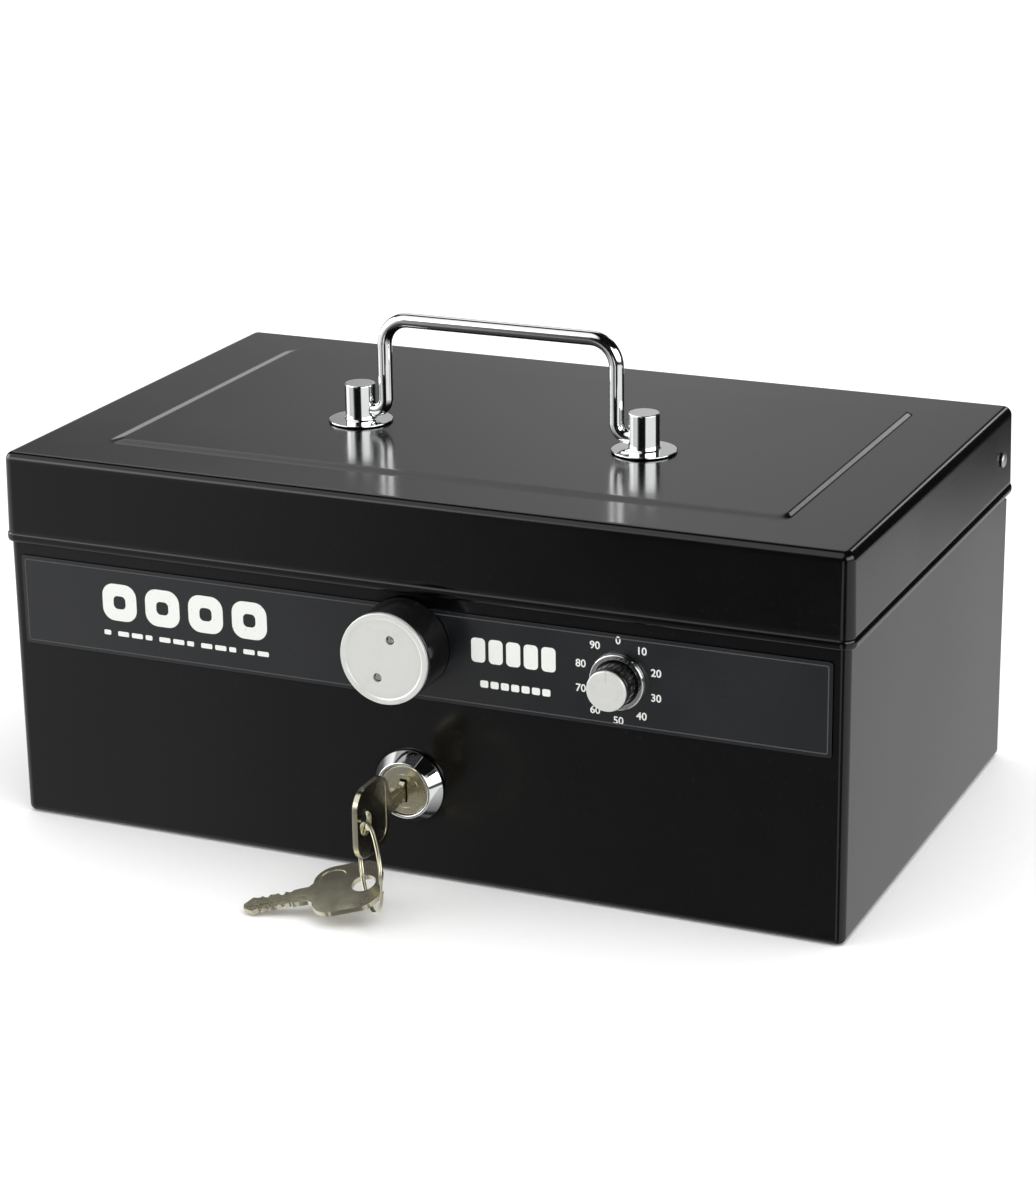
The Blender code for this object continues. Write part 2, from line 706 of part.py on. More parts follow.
def make_latch_hook(material, pivot):
    """Hub with the hook's nose in front and, behind, a lever with a tail and a drive pin."""
    hub = rod(HOOK_HUB, HOOK_FRONT, LEVER_BACK, steps=ROUND_STEPS)
    hook = sub_part("latch_hook", hub, material, pivot, (0, 0, LATCH_Z))
    join(hook, front_plate(nose_outline(), HOOK_FRONT + 0.1 * MM, HOOK_BACK))
    lever = capsule(PIN_REACH, TAIL_HALF, TAIL_LENGTH, LEVER_SWING)
    join(hook, front_plate(lever, LEVER_FRONT, LEVER_BACK - 0.1 * MM))
    pin = rod(PIN_RADIUS, FENCE_FRONT - 0.6 * MM, LEVER_FRONT + MM, steps=16)
    join(hook, pin, pin_place())
    return cut(hook, rod(SPINDLE_RADIUS + GAP, HOOK_FRONT - MM, LEVER_BACK + MM))


def pin_place():
    reach_x = PIN_REACH * math.sin(LEVER_SWING)
    reach_z = PIN_REACH * math.cos(LEVER_SWING)
    return (reach_x, 0, LATCH_Z + reach_z)


# ---------------------------------------------------------------- fence bar


def make_fence_bar(material, pivot):
    """Stepped bar with a slot for the hook's pin, two guide slots and a tongue for the wheel."""
    top = FENCE_UPPER_Z + FENCE_HALF
    low_top = DIAL_Z + FENCE_HALF
    low_bottom = DIAL_Z - FENCE_HALF
    tip = DIAL_X - WHEEL_RADIUS - 2 * GAP
    shoulder = tip - TONGUE_LENGTH
    outline = [(0, FENCE_UPPER_Z - FENCE_HALF), (FENCE_RISER_LEFT, FENCE_UPPER_Z - FENCE_HALF)]
    outline += [(FENCE_RISER_LEFT, low_bottom), (shoulder, low_bottom)]
    outline += [(shoulder, DIAL_Z - TONGUE_HALF), (tip, DIAL_Z - TONGUE_HALF)]
    outline += [(tip, DIAL_Z + TONGUE_HALF), (shoulder, DIAL_Z + TONGUE_HALF)]
    outline += [(shoulder, low_top), (FENCE_RISER_RIGHT, low_top)]
    outline += [(FENCE_RISER_RIGHT, top), (0, top)]
    bar = sub_part("fence_bar", front_plate(outline, FENCE_FRONT, FENCE_BACK), material)
    half = PIN_RADIUS + GAP + 0.1 * MM
    pin_x, _, pin_z = pin_place()
    low = pin_z - half - 0.3 * MM
    pin_slot = rounded_outline(pin_x - half, pin_x + half, low, pin_z + half + MM, 1.2 * MM)
    cut(bar, front_plate(pin_slot, FENCE_FRONT - MM, FENCE_BACK + MM))
    for x, z in fence_guide_places():
        slot = rounded_outline(x - half, x + half + FENCE_TRAVEL, z - half, z + half, 1.2 * MM)
        cut(bar, front_plate(slot, FENCE_FRONT - MM, FENCE_BACK + MM))
    return rehang(bar, pivot)


def fence_guide_places():
    return [(FENCE_GUIDE_UPPER_X, FENCE_UPPER_Z), (FENCE_GUIDE_LOWER_X, DIAL_Z)]


def make_fence_guide(name, place, material):
    """Headed stud riveted to the cover, running in a slot of the fence bar."""
    front = FENCE_FRONT - GAP
    back = FENCE_BACK + GAP
    profile = [(front - MM, GUIDE_HEAD), (front, GUIDE_HEAD), (front, PIN_RADIUS)]
    profile += [(back, PIN_RADIUS), (back, GUIDE_STEM), (COVER_BACK - SHEET - GAP, GUIDE_STEM)]
    guide = turned(profile, steps=FINE_STEPS)
    return sub_part(name, guide, material, place=(place[0], 0, place[1]))


# ---------------------------------------------------------------- dial


def make_dial_skirt(material):
    back = LABEL_FRONT - GAP
    profile = [(SKIRT_FRONT, SKIRT_INNER + 0.3 * MM), (SKIRT_FRONT, SKIRT_OUTER - 0.8 * MM)]
    profile += [(SKIRT_FRONT + 0.5 * MM, SKIRT_OUTER - 0.2 * MM), (back, SKIRT_OUTER)]
    profile += [(back, SKIRT_INNER), (SKIRT_FRONT + 0.3 * MM, SKIRT_INNER)]
    skirt = turned(profile, hollow=True)
    return sub_part("dial_skirt", skirt, material, place=(DIAL_X, 0, DIAL_Z))


def make_dial_knob(material, pivot):
    back = LABEL_FRONT - 2 * GAP
    profile = [(DIAL_FRONT, DIAL_RADIUS - 0.3 * MM), (DIAL_FRONT + 0.3 * MM, DIAL_RADIUS)]
    profile += [(back - 0.3 * MM, DIAL_RADIUS), (back, DIAL_RADIUS - 0.3 * MM)]
    knob = sub_part("dial_knob", turned(profile), material, pivot, (DIAL_X, 0, DIAL_Z))
    return cut(knob, rod(DIAL_SPINDLE + GAP, DIAL_FRONT + DIAL_SOCKET, back + MM))


def make_dial_face(material, pivot):
    back = DIAL_FRONT - GAP
    profile = [(DIAL_FACE_FRONT, DIAL_RADIUS - 0.8 * MM)]
    profile += [(DIAL_FACE_FRONT + 0.4 * MM, DIAL_RADIUS - 0.3 * MM), (back, DIAL_RADIUS - 0.3 * MM)]
    return sub_part("dial_face", turned(profile), material, pivot, (DIAL_X, 0, DIAL_Z))


def make_dial_spindle(material, pivot):
    front = DIAL_FRONT + DIAL_SOCKET + GAP
    profile = [(front, DIAL_SPINDLE), (SPINDLE_END - 0.4 * MM, DIAL_SPINDLE)]
    profile += [(SPINDLE_END, DIAL_SPINDLE - 0.4 * MM)]
    spindle = turned(profile, steps=FINE_STEPS)
    return sub_part("dial_spindle", spindle, material, pivot, (DIAL_X, 0, DIAL_Z))


def make_dial_wheel(material, pivot):
    """Wheel on the dial's spindle, with one gate in its rim for the fence bar's tongue."""
    profile = [(WHEEL_FRONT, WHEEL_RADIUS), (WHEEL_BACK, WHEEL_RADIUS)]
    hub_back = WHEEL_BACK + WHEEL_HUB_DEPTH
    profile += [(WHEEL_BACK, WHEEL_HUB_RADIUS), (hub_back, WHEEL_HUB_RADIUS)]
    profile += [(hub_back, DIAL_SPINDLE + GAP), (WHEEL_FRONT, DIAL_SPINDLE + GAP)]
    wheel = turned(profile, hollow=True)
    wheel = sub_part("dial_wheel", wheel, material, pivot, (DIAL_X, 0, DIAL_Z))
    gate_low = (-WHEEL_RADIUS - MM, WHEEL_FRONT - MM, -GATE_HALF)
    gate_high = (-WHEEL_RADIUS + GATE_DEPTH, WHEEL_BACK + MM, GATE_HALF)
    return cut(wheel, block(gate_low, gate_high))


# ---------------------------------------------------------------- key lock


def make_lock_bezel(material):
    """Conical bezel and barrel in one, bored for the plug."""
    back = FRONT_OUTER - GAP
    profile = [(BEZEL_FRONT + 0.4 * MM, PLUG_HEAD + GAP), (BEZEL_FRONT, PLUG_HEAD + 2 * GAP)]
    profile += [(BEZEL_FRONT, BEZEL_RIM - 0.2 * MM), (BEZEL_FRONT + 0.2 * MM, BEZEL_RIM)]
    profile += [(back - 1.2 * MM, BEZEL_RADIUS), (back, BEZEL_RADIUS)]
    profile += [(back, BARREL_RADIUS), (BARREL_END, BARREL_RADIUS)]
    profile += [(BARREL_END, PLUG_BODY + GAP), (PLUG_STEP + GAP, PLUG_BODY + GAP)]
    profile += [(PLUG_STEP + GAP, PLUG_HEAD + GAP)]
    return sub_part("lock_bezel", turned(profile, hollow=True), material, place=(0, 0, LOCK_Z))


def make_lock_nut(material):
    front = FRONT_INNER + GAP
    nut = rod(LOCK_NUT_RADIUS, front, front + NUT_HEIGHT, steps=6)
    nut = sub_part("lock_nut", nut, material, place=(0, 0, LOCK_Z))
    return cut(nut, rod(BARREL_RADIUS + GAP, front - MM, front + NUT_HEIGHT + MM, steps=ROUND_STEPS))


def make_lock_plug(material, pivot):
    boss_end = LEVER_BACK + GAP
    profile = [(PLUG_FACE, PLUG_HEAD - 0.3 * MM), (PLUG_FACE + 0.3 * MM, PLUG_HEAD)]
    profile += [(PLUG_STEP, PLUG_HEAD), (PLUG_STEP, PLUG_BODY)]
    profile += [(BARREL_END + GAP, PLUG_BODY), (BARREL_END + GAP, PLUG_BOSS), (boss_end, PLUG_BOSS)]
    plug = sub_part("lock_plug", turned(profile), material, pivot, (0, 0, LOCK_Z))
    keyway_low = (-KEYWAY_HALF_WIDTH, PLUG_FACE - MM, -KEYWAY_HALF_HEIGHT)
    keyway_high = (KEYWAY_HALF_WIDTH, KEYWAY_END, KEYWAY_HALF_HEIGHT)
    cut(plug, block(keyway_low, keyway_high))
    thread = rod(COVER_SCREW + GAP, boss_end - CAM_SCREW_LENGTH - MM, boss_end + MM, steps=16)
    return cut(plug, thread)


def make_lock_cam(material, pivot):
    """Cam on the plug's boss; its tip moves up into the path of the hook's tail."""
    half_angle = math.degrees(math.asin(CAM_HALF / CAM_REACH))
    outline = arc((0, 0), CAM_REACH, -half_angle, half_angle, 4)
    outline += arc((0, 0), HOOK_HUB, 60, 300, 12)
    cam = front_plate(outline, LEVER_FRONT, LEVER_BACK)
    cam = sub_part("lock_cam", cam, material, pivot, (0, 0, LOCK_Z))
    return cut(cam, rod(PLUG_BOSS + GAP, LEVER_FRONT - MM, LEVER_BACK + MM))


def make_cam_screw(material, pivot):
    front = LEVER_BACK + 2 * GAP
    head = CAM_SCREW_HEAD
    profile = [(front - CAM_SCREW_LENGTH, COVER_SCREW), (front, COVER_SCREW), (front, head)]
    profile += [(front + 1.4 * MM, head), (front + 2 * MM, head * 0.75)]
    return sub_part("cam_screw", turned(profile, steps=FINE_STEPS), material, pivot, (0, 0, LOCK_Z))


# ---------------------------------------------------------------- keys


def key_outline():
    """(along the blade, across) outline of a key, measured from the hole in its bow."""
    bow = rounded_outline(BOW_FAR, BOW_NEAR, -BOW_HALF, BOW_HALF, BOW_CORNER, steps=5)
    quarter = len(bow) // 4
    shoulder = BOW_NEAR + 1.5 * MM
    taper = BLADE_END - 3 * MM
    blade = [(shoulder, -BLADE_HALF), (taper, -BLADE_HALF), (BLADE_END, -MM)]
    blade += [(BLADE_END, MM), (taper, BLADE_HALF), (shoulder, BLADE_HALF)]
    return bow[:quarter] + blade + bow[quarter:]


def make_key(name, material):
    """Key in the YZ plane, blade towards +Y, origin in the middle of the bow's hole."""
    half = KEY_THICKNESS / 2
    key = sub_part(name, side_plate(key_outline(), -half, half), material)
    return cut(key, crosswise(rod(BOW_HOLE, -HOLE_REACH, HOLE_REACH)))


def ring_point(angle):
    """Point of the ring's centre line; angle from its top towards its heading."""
    hole = Vector((0, BOW_HOLE_Y, LOCK_Z))
    centre = hole - ring_offset(RING_AT_KEY)
    return centre + ring_offset(angle)


def ring_offset(angle):
    return (RING_HEADING * math.sin(angle) + Vector((0, 0, math.cos(angle)))) * RING_RADIUS


def spare_turn():
    """Rotation that lays the spare key with its blade down to the left."""
    blade = Vector((
        -math.cos(SPARE_HEADING) * math.cos(SPARE_DIP),
        -math.sin(SPARE_HEADING) * math.cos(SPARE_DIP),
        -math.sin(SPARE_DIP),
    ))
    level = Vector((math.sin(SPARE_HEADING), -math.cos(SPARE_HEADING), 0))
    normal = blade.cross(level)
    across = level * math.cos(SPARE_ROLL) + normal * math.sin(SPARE_ROLL)
    return Matrix((blade.cross(across), blade, across)).transposed()


def make_ring(material, pivot):
    steps = 40
    path = [ring_point(2 * math.pi * step / steps) for step in range(steps)]
    ring = sub_part("key_ring", swept_wire(path, RING_WIRE, closed=True, steps=8), material)
    return rehang(ring, pivot)


# ---------------------------------------------------------------- mechanism cover


def cover_ring(inset, depth):
    outline = rounded_outline(
        COVER_LEFT + inset,
        COVER_RIGHT - inset,
        COVER_BOTTOM + inset,
        COVER_TOP - inset,
        COVER_CORNER - inset,
    )
    return outline, depth


def make_cover(material):
    """Pressed cover over the mechanism, open towards the front wall."""
    levels = [cover_ring(SHEET, COVER_BACK - SHEET), cover_ring(SHEET, COVER_FRONT)]
    levels += [cover_ring(0, COVER_FRONT), cover_ring(0, COVER_BACK - SHEET)]
    levels += [cover_ring(SHEET, COVER_BACK)]
    mesh_data = bmesh.new()
    rings = []
    for outline, depth in levels:
        rings.append([mesh_data.verts.new((x, depth, z)) for x, z in outline])
    join_rings(mesh_data, rings, closed=False)
    cover = sub_part("mechanism_cover", mesh_data, material)
    slot_low = (-STRIKER_SLOT_HALF, COVER_FRONT - MM, COVER_TOP - 3 * MM)
    cut(cover, block(slot_low, (STRIKER_SLOT_HALF, STRIKER_SLOT_BACK, COVER_TOP + MM)))
    holes = [(0, LATCH_Z, SPINDLE_RADIUS), (DIAL_X, DIAL_Z, DIAL_SPINDLE)]
    holes += [(x, z, COVER_SCREW) for x, z in STUD_PLACES.values()]
    for x, z, radius in holes:
        cut(cover, rod(radius + GAP, -HOLE_REACH, HOLE_REACH), (x, COVER_BACK, z))
    return cover


def make_stud(name, place, material):
    """Stand-off between the front wall and the mechanism cover."""
    back = COVER_BACK - SHEET - GAP
    stud = rod(STUD_RADIUS, FRONT_INNER + GAP, back)
    stud = sub_part(name, stud, material, place=(place[0], 0, place[1]))
    thread = rod(COVER_SCREW + GAP, back - COVER_SCREW_LENGTH - MM, back + MM, steps=16)
    return cut(stud, thread)


def make_cover_screw(name, place, material):
    front = COVER_BACK + GAP
    head = COVER_SCREW_HEAD
    profile = [(front - COVER_SCREW_LENGTH, COVER_SCREW), (front, COVER_SCREW), (front, head)]
    profile += [(front + 1.2 * MM, head), (front + 1.8 * MM, head * 0.67)]
    screw = turned(profile, steps=FINE_STEPS)
    return sub_part(name, screw, material, place=(place[0], 0, place[1]))


# ---------------------------------------------------------------- tray


def make_ledge(name, side, material):
    """Angle on the side wall that carries the tray."""
    wall = SIDE_INNER - GAP
    outline = [(wall, LEDGE_TOP), (wall, LEDGE_TOP - LEDGE_DROP)]
    outline += [(wall - LEDGE_SHEET, LEDGE_TOP - LEDGE_DROP)]
    outline += [(wall - LEDGE_SHEET, LEDGE_TOP - LEDGE_SHEET)]
    outline += [(wall - LEDGE_REACH, LEDGE_TOP - LEDGE_SHEET), (wall - LEDGE_REACH, LEDGE_TOP)]
    outline = [(side * x, z) for x, z in outline]
    ledge = front_plate(outline, -LEDGE_HALF_LENGTH, LEDGE_HALF_LENGTH)
    return sub_part(name, ledge, material)


def tray_ring(inset, height):
    outline = rounded_outline(
        -TRAY_HALF_WIDTH + inset, TRAY_HALF_WIDTH - inset, TRAY_FRONT + inset, TRAY_BACK - inset,
        TRAY_CORNER - inset,
    )
    return outline, height


def make_tray(material, pivot):
    """Moulded tray with a row of round-bottomed coin cups and flat note bays."""
    top_lip = TRAY_TOP - 2 * MM
    levels = [tray_ring(4 * MM, TRAY_BOTTOM), tray_ring(3 * MM, TRAY_BOTTOM + MM)]
    levels += [tray_ring(1.5 * MM, top_lip - 0.5 * MM), tray_ring(0, top_lip)]
    levels += [tray_ring(0, TRAY_TOP - 0.4 * MM), tray_ring(0.4 * MM, TRAY_TOP)]
    tray = sub_part("coin_tray", loft(levels), material)
    inner = TRAY_HALF_WIDTH - 3 * TRAY_WALL
    pitch = (2 * inner + TRAY_WALL) / CUP_COUNT
    cup_front = TRAY_FRONT + 3 * TRAY_WALL
    for index in range(CUP_COUNT):
        left = -inner + index * pitch
        cut(tray, cup_tool(left, left + pitch - TRAY_WALL, cup_front, CUP_BACK))
    pitch = (2 * inner + TRAY_WALL) / NOTE_COUNT
    for index in range(NOTE_COUNT):
        left = -inner + index * pitch
        outline = rounded_outline(
            left, left + pitch - TRAY_WALL, CUP_BACK + TRAY_WALL, TRAY_BACK - 3 * TRAY_WALL, 3 * MM
        )
        cut(tray, loft([(outline, TRAY_BOTTOM + TRAY_WALL), (outline, TRAY_TOP + 2 * MM)]))
    return rehang(tray, pivot)


def cup_tool(left, right, front, back):
    """Trough with a round bottom running front to back."""
    middle = (left + right) / 2
    centre_z = TRAY_BOTTOM + TRAY_WALL + CUP_RADIUS
    half = min(right - middle, CUP_RADIUS)
    spread = math.degrees(math.acos(half / CUP_RADIUS))
    outline = arc((middle, centre_z), CUP_RADIUS, 180 + spread, 360 - spread, 10)
    outline += [(middle + half, TRAY_TOP + 2 * MM), (middle - half, TRAY_TOP + 2 * MM)]
    return front_plate(outline, front, back)


# ---------------------------------------------------------------- assembly


def main():
    clear_scene()
    black_paint = finish_of("black_paint", (0.018, 0.018, 0.019), 0.38, 0.0)
    label_print = finish_of("label_print", (0.035, 0.040, 0.055), 0.35, 0.0)
    black_plastic = finish_of("black_plastic", (0.012, 0.012, 0.013), 0.45, 0.0)
    satin_metal = finish_of("satin_metal", (0.66, 0.67, 0.64), 0.32, 0.9)
    chrome = finish_of("chrome", (0.78, 0.79, 0.80), 0.08, 1.0)
    nickel = finish_of("nickel", (0.45, 0.43, 0.34), 0.3, 1.0)
    zinc = finish_of("zinc", (0.55, 0.56, 0.57), 0.42, 1.0)

    lid_hinge = add_pivot("lid_hinge", (0, HINGE_Y, HINGE_Z))
    handle_swing = add_pivot("handle_swing", (0, HANDLE_Y, HANDLE_PIVOT_Z), lid_hinge)
    latch_axis = add_pivot("latch_axis", (0, 0, LATCH_Z))
    fence_slide = add_pivot("fence_slide", (0, FENCE_FRONT, DIAL_Z))
    dial_axis = add_pivot("dial_axis", (DIAL_X, 0, DIAL_Z))
    plug_axis = add_pivot("plug_axis", (0, 0, LOCK_Z))
    key_slide = add_pivot("key_slide", (0, BOW_HOLE_Y, LOCK_Z), plug_axis)
    ring_slide = add_pivot("ring_slide", (0, BOW_HOLE_Y, LOCK_Z))
    spare_swing = add_pivot("spare_swing", ring_point(RING_AT_SPARE), ring_slide)
    tray_lift = add_pivot("tray_lift", (0, 0, TRAY_BOTTOM))

    make_body(black_paint)
    make_label(label_print)
    make_hinge_rivet("hinge_rivet_left", -1, zinc)
    make_hinge_rivet("hinge_rivet_right", 1, zinc)
    make_lid(black_paint, lid_hinge)
    make_striker(zinc, lid_hinge)

    for name, side in (("left", -1), ("right", 1)):
        make_post(f"handle_post_{name}", side, chrome, lid_hinge)
        make_nut(f"post_nut_{name}", side, zinc, lid_hinge)
        make_ledge(f"tray_ledge_{name}", side, black_paint)
    make_handle(chrome, handle_swing)

    make_latch_knob(black_plastic, latch_axis)
    make_knob_face(satin_metal, latch_axis)
    for name, place in zip(("upper", "lower"), knob_screw_places()):
        make_knob_screw(f"knob_screw_{name}", place, zinc, latch_axis)
    make_latch_spindle(zinc, latch_axis)
    make_latch_hook(zinc, latch_axis)
    make_clip("latch_clip", SPINDLE_RADIUS, 0, LATCH_Z, zinc, latch_axis)

    make_fence_bar(zinc, fence_slide)
    for name, place in zip(("upper", "lower"), fence_guide_places()):
        make_fence_guide(f"fence_guide_{name}", place, zinc)

    make_dial_skirt(chrome)
    make_dial_knob(black_plastic, dial_axis)
    make_dial_face(satin_metal, dial_axis)
    make_dial_spindle(zinc, dial_axis)
    make_dial_wheel(zinc, dial_axis)
    make_clip("dial_clip", DIAL_SPINDLE, DIAL_X, DIAL_Z, zinc, dial_axis)

    make_lock_bezel(chrome)
    make_lock_nut(zinc)
    make_lock_plug(nickel, plug_axis)
    make_lock_cam(zinc, plug_axis)
    make_cam_screw(zinc, plug_axis)

    key = make_key("key", nickel)
    key.parent = key_slide
    for step in key.modifiers:
        step.object.parent = key_slide
    make_ring(nickel, ring_slide)
    spare_swing.rotation_mode = "QUATERNION"
    spare_swing.rotation_quaternion = spare_turn().to_quaternion()
    spare = make_key("spare_key", nickel)
    spare.parent = spare_swing
    for step in spare.modifiers:
        step.object.parent = spare_swing

    make_cover(zinc)
    for name, place in STUD_PLACES.items():
        make_stud(f"cover_stud_{name}", place, zinc)
        make_cover_screw(f"cover_screw_{name}", place, zinc)
    make_tray(black_plastic, tray_lift)


main()
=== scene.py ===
"""Looks of a steel cash box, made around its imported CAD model.

Metres, +Z up, front towards -Y. Places come from the frame's nodes and joints. Each finer
piece is made where it belongs, rides on the body of the node it stands for and takes that
node's material slot. Turned pieces are made about a line along Y, X or Z.
"""

import json
from math import acos, atan, cos, degrees, pi, radians, sin, tan

import bmesh
import bpy
from mathutils import Matrix, Vector

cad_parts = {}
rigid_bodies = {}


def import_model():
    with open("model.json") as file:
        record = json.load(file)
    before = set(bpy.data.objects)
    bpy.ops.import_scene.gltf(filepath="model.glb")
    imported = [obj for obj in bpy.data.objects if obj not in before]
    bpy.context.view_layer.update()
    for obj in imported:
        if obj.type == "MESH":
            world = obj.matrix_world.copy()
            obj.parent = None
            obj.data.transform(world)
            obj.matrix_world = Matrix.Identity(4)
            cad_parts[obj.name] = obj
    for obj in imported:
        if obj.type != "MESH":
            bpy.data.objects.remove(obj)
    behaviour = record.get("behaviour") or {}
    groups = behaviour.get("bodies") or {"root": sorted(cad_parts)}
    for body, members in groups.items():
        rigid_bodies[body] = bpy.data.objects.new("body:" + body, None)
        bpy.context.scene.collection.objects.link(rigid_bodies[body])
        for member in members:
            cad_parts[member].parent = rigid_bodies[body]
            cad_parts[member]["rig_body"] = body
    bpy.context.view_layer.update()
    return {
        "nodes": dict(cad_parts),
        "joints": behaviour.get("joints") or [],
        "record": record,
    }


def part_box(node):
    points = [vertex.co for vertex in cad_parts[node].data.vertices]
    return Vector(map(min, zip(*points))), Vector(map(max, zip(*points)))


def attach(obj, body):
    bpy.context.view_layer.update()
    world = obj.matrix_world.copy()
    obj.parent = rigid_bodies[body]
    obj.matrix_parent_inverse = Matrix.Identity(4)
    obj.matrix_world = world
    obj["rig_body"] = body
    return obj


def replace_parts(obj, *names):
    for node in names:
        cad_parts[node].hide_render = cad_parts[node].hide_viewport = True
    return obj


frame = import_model()

MM = 0.001
SLOT_OF = {row["node"]: row["material_slot"] for row in frame["record"]["subparts"]}
HINGES = [joint for joint in frame["joints"] if joint["type"] == "hinge"]
JOINT_PLACE = {joint["name"]: Vector(joint["pos_m"]) for joint in HINGES}
JOINT_AXIS = {joint["name"]: Vector(joint["axis"]) for joint in HINGES}

# ---- places taken from the frame
HINGE = JOINT_PLACE["lid_hinge"]
HANDLE = JOINT_PLACE["handle_swing"]
LATCH = JOINT_PLACE["latch_turn"]
DIAL = JOINT_PLACE["dial_turn"]
LOCK = JOINT_PLACE["key_turn"]
SPARE_HOLE = JOINT_PLACE["spare_swing"]
LID_LOW, LID_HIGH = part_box("lid")
BODY_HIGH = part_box("box_body")[1]
LABEL_LOW, LABEL_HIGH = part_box("front_label")
TRAY_LOW, TRAY_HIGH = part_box("coin_tray")
WIRE_LOW, WIRE_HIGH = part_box("carry_handle")
POST_LOW, POST_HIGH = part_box("handle_post_right")
RING_LOW, RING_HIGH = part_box("key_ring")
KEY_LOW, KEY_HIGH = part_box("key")

# ---- sheet metal
SHEET = 0.8 * MM
GAP = 0.3 * MM
LID_CORNER = 4 * MM
LID_TOP_RADIUS = 3 * MM
HEM_HEIGHT = 3 * MM
HEM_PROUD = 0.5 * MM
HEM_END = 0.6 * MM
PANEL_HALF_WIDTH = 118.4 * MM
PANEL_FRONT = -62.5 * MM
PANEL_BACK = 65.7 * MM
PANEL_RISE = 1 * MM
PANEL_SLOPE = 2.4 * MM
PANEL_SLOPE_WIDE = 4.8 * MM
PANEL_CORNER = 3 * MM
LID_HALF_WIDTH = LID_HIGH.x - HEM_PROUD
LID_HALF_DEPTH = LID_HIGH.y - HEM_PROUD
LID_EDGE = LID_LOW.z
PANEL_TOP = LID_HIGH.z
LID_TOP = PANEL_TOP - PANEL_RISE
BODY_INSET = LID_HALF_WIDTH - BODY_HIGH.x
BODY_TOP = BODY_HIGH.z
FOOT_RADIUS = 2.5 * MM
FRONT_OUTER = -(LID_HALF_DEPTH - BODY_INSET)
SIDE_INNER = BODY_HIGH.x - SHEET
UPSTAND_END = 83.5 * MM
UPSTAND_ROUND = 8 * MM
BODY_BACK_TOP = 96.3 * MM
SLIT_INNER = 147.6 * MM
SLIT_HEADROOM = 4 * MM
LID_TAPER = 0.5 * MM
LID_LEAN = degrees(atan(LID_TAPER / (LID_TOP - LID_EDGE - HEM_HEIGHT - LID_TOP_RADIUS)))

# ---- holes and the pieces in them
HOLE_REACH = 3 * MM
RIVET_SHANK = 1.5 * MM
RIVET_HEAD = 2.6 * MM
RIVET_DOME = 0.9 * MM
RIVET_TAIL = 1.2 * MM
POST_STUD = 2 * MM
POST_X = (POST_LOW.x + POST_HIGH.x) / 2
SPINDLE_RADIUS = 4 * MM
DIAL_SPINDLE = 2.5 * MM
SPINDLES = ((LATCH, SPINDLE_RADIUS), (DIAL, DIAL_SPINDLE))
BARREL_RADIUS = 9.5 * MM

# ---- fineness of round shapes
CORNER_STEPS = 10
EDGE_STEPS = 8
TURN_STEPS = 96
FINE_TURN_STEPS = 128
SMALL_TURN_STEPS = 48
SCREW_STEPS = 32
TINY_TURN_STEPS = 24
SMOOTH_BELOW = 32
STRAIGHT = radians(172)
FLAT = radians(0.5)
WELD = 1e-6
NEAR_AXIS = 0.02 * MM


# ======== shapes


def arc(centre, radius, start, end, steps):
    """Points along an arc; angles in degrees, counter-clockwise from the first axis."""
    points = []
    for step in range(steps + 1):
        angle = radians(start + (end - start) * step / steps)
        points.append((centre[0] + radius * cos(angle), centre[1] + radius * sin(angle)))
    return points


def rounded_outline(left, right, bottom, top, radius, steps=CORNER_STEPS):
    """Rectangle with rounded corners, counter-clockwise."""
    points = arc((right - radius, bottom + radius), radius, -90, 0, steps)
    points += arc((right - radius, top - radius), radius, 0, 90, steps)
    points += arc((left + radius, top - radius), radius, 90, 180, steps)
    points += arc((left + radius, bottom + radius), radius, 180, 270, steps)
    return points


def filleted(points, radius, closed=True, steps=4):
    """Outline with each corner replaced by a small arc, where its sides leave room."""
    result = []
    count = len(points)
    for index, point in enumerate(points):
        here = Vector(point)
        before = Vector(points[index - 1]) - here
        after = Vector(points[(index + 1) % count]) - here
        at_end = not closed and index in (0, count - 1)
        opening = before.angle(after, pi)
        if at_end or opening > STRAIGHT:
            result.append(tuple(here))
            continue
        reach = radius / tan(opening / 2)
        reach = min(reach, before.length * 0.45, after.length * 0.45)
        first = here + before.normalized() * reach
        last = here + after.normalized() * reach
        for step in range(steps + 1):
            share = step / steps
            result.append(tuple(first.lerp(here, share).lerp(here.lerp(last, share), share)))
    return result


def join_rings(mesh_data, rings, closed=False):
    """Sides between neighbouring rings of places; an open run is capped at both ends."""
    rings = [[mesh_data.verts.new(place) for place in ring] for ring in rings]
    count = len(rings)
    for index in range(count if closed else count - 1):
        lower = rings[index]
        upper = rings[(index + 1) % count]
        for side in range(len(lower)):
            after = (side + 1) % len(lower)
            mesh_data.faces.new((lower[side], lower[after], upper[after], upper[side]))
    if not closed:
        mesh_data.faces.new(rings[0])
        mesh_data.faces.new(rings[-1])
    return mesh_data


def loft(levels):
    """Solid through outlines of equal point count, each a list of points with its height."""
    rings = [[(x, y, height) for x, y in outline] for outline, height in levels]
    return join_rings(bmesh.new(), rings)


def on_circle(centre, radius, angle):
    """(x, z) on a circle about a line along Y, clockwise from the top, seen from the front."""
    return centre[0] + radius * sin(angle), centre[2] + radius * cos(angle)


def turned(profile, place=(0, 0, 0), hollow=False, steps=TURN_STEPS):
    """Solid turned about the Y line through a place, from (y, radius) pairs."""
    rings = []
    for y, radius in profile:
        turns = [on_circle(place, radius, 2 * pi * step / steps) for step in range(steps)]
        rings.append([(x, place[1] + y, z) for x, z in turns])
    return join_rings(bmesh.new(), rings, closed=hollow)


def moved(mesh_data, matrix):
    bmesh.ops.transform(mesh_data, matrix=matrix, verts=mesh_data.verts)
    return mesh_data


def shifted(mesh_data, x, y, z):
    return moved(mesh_data, Matrix.Translation((x, y, z)))


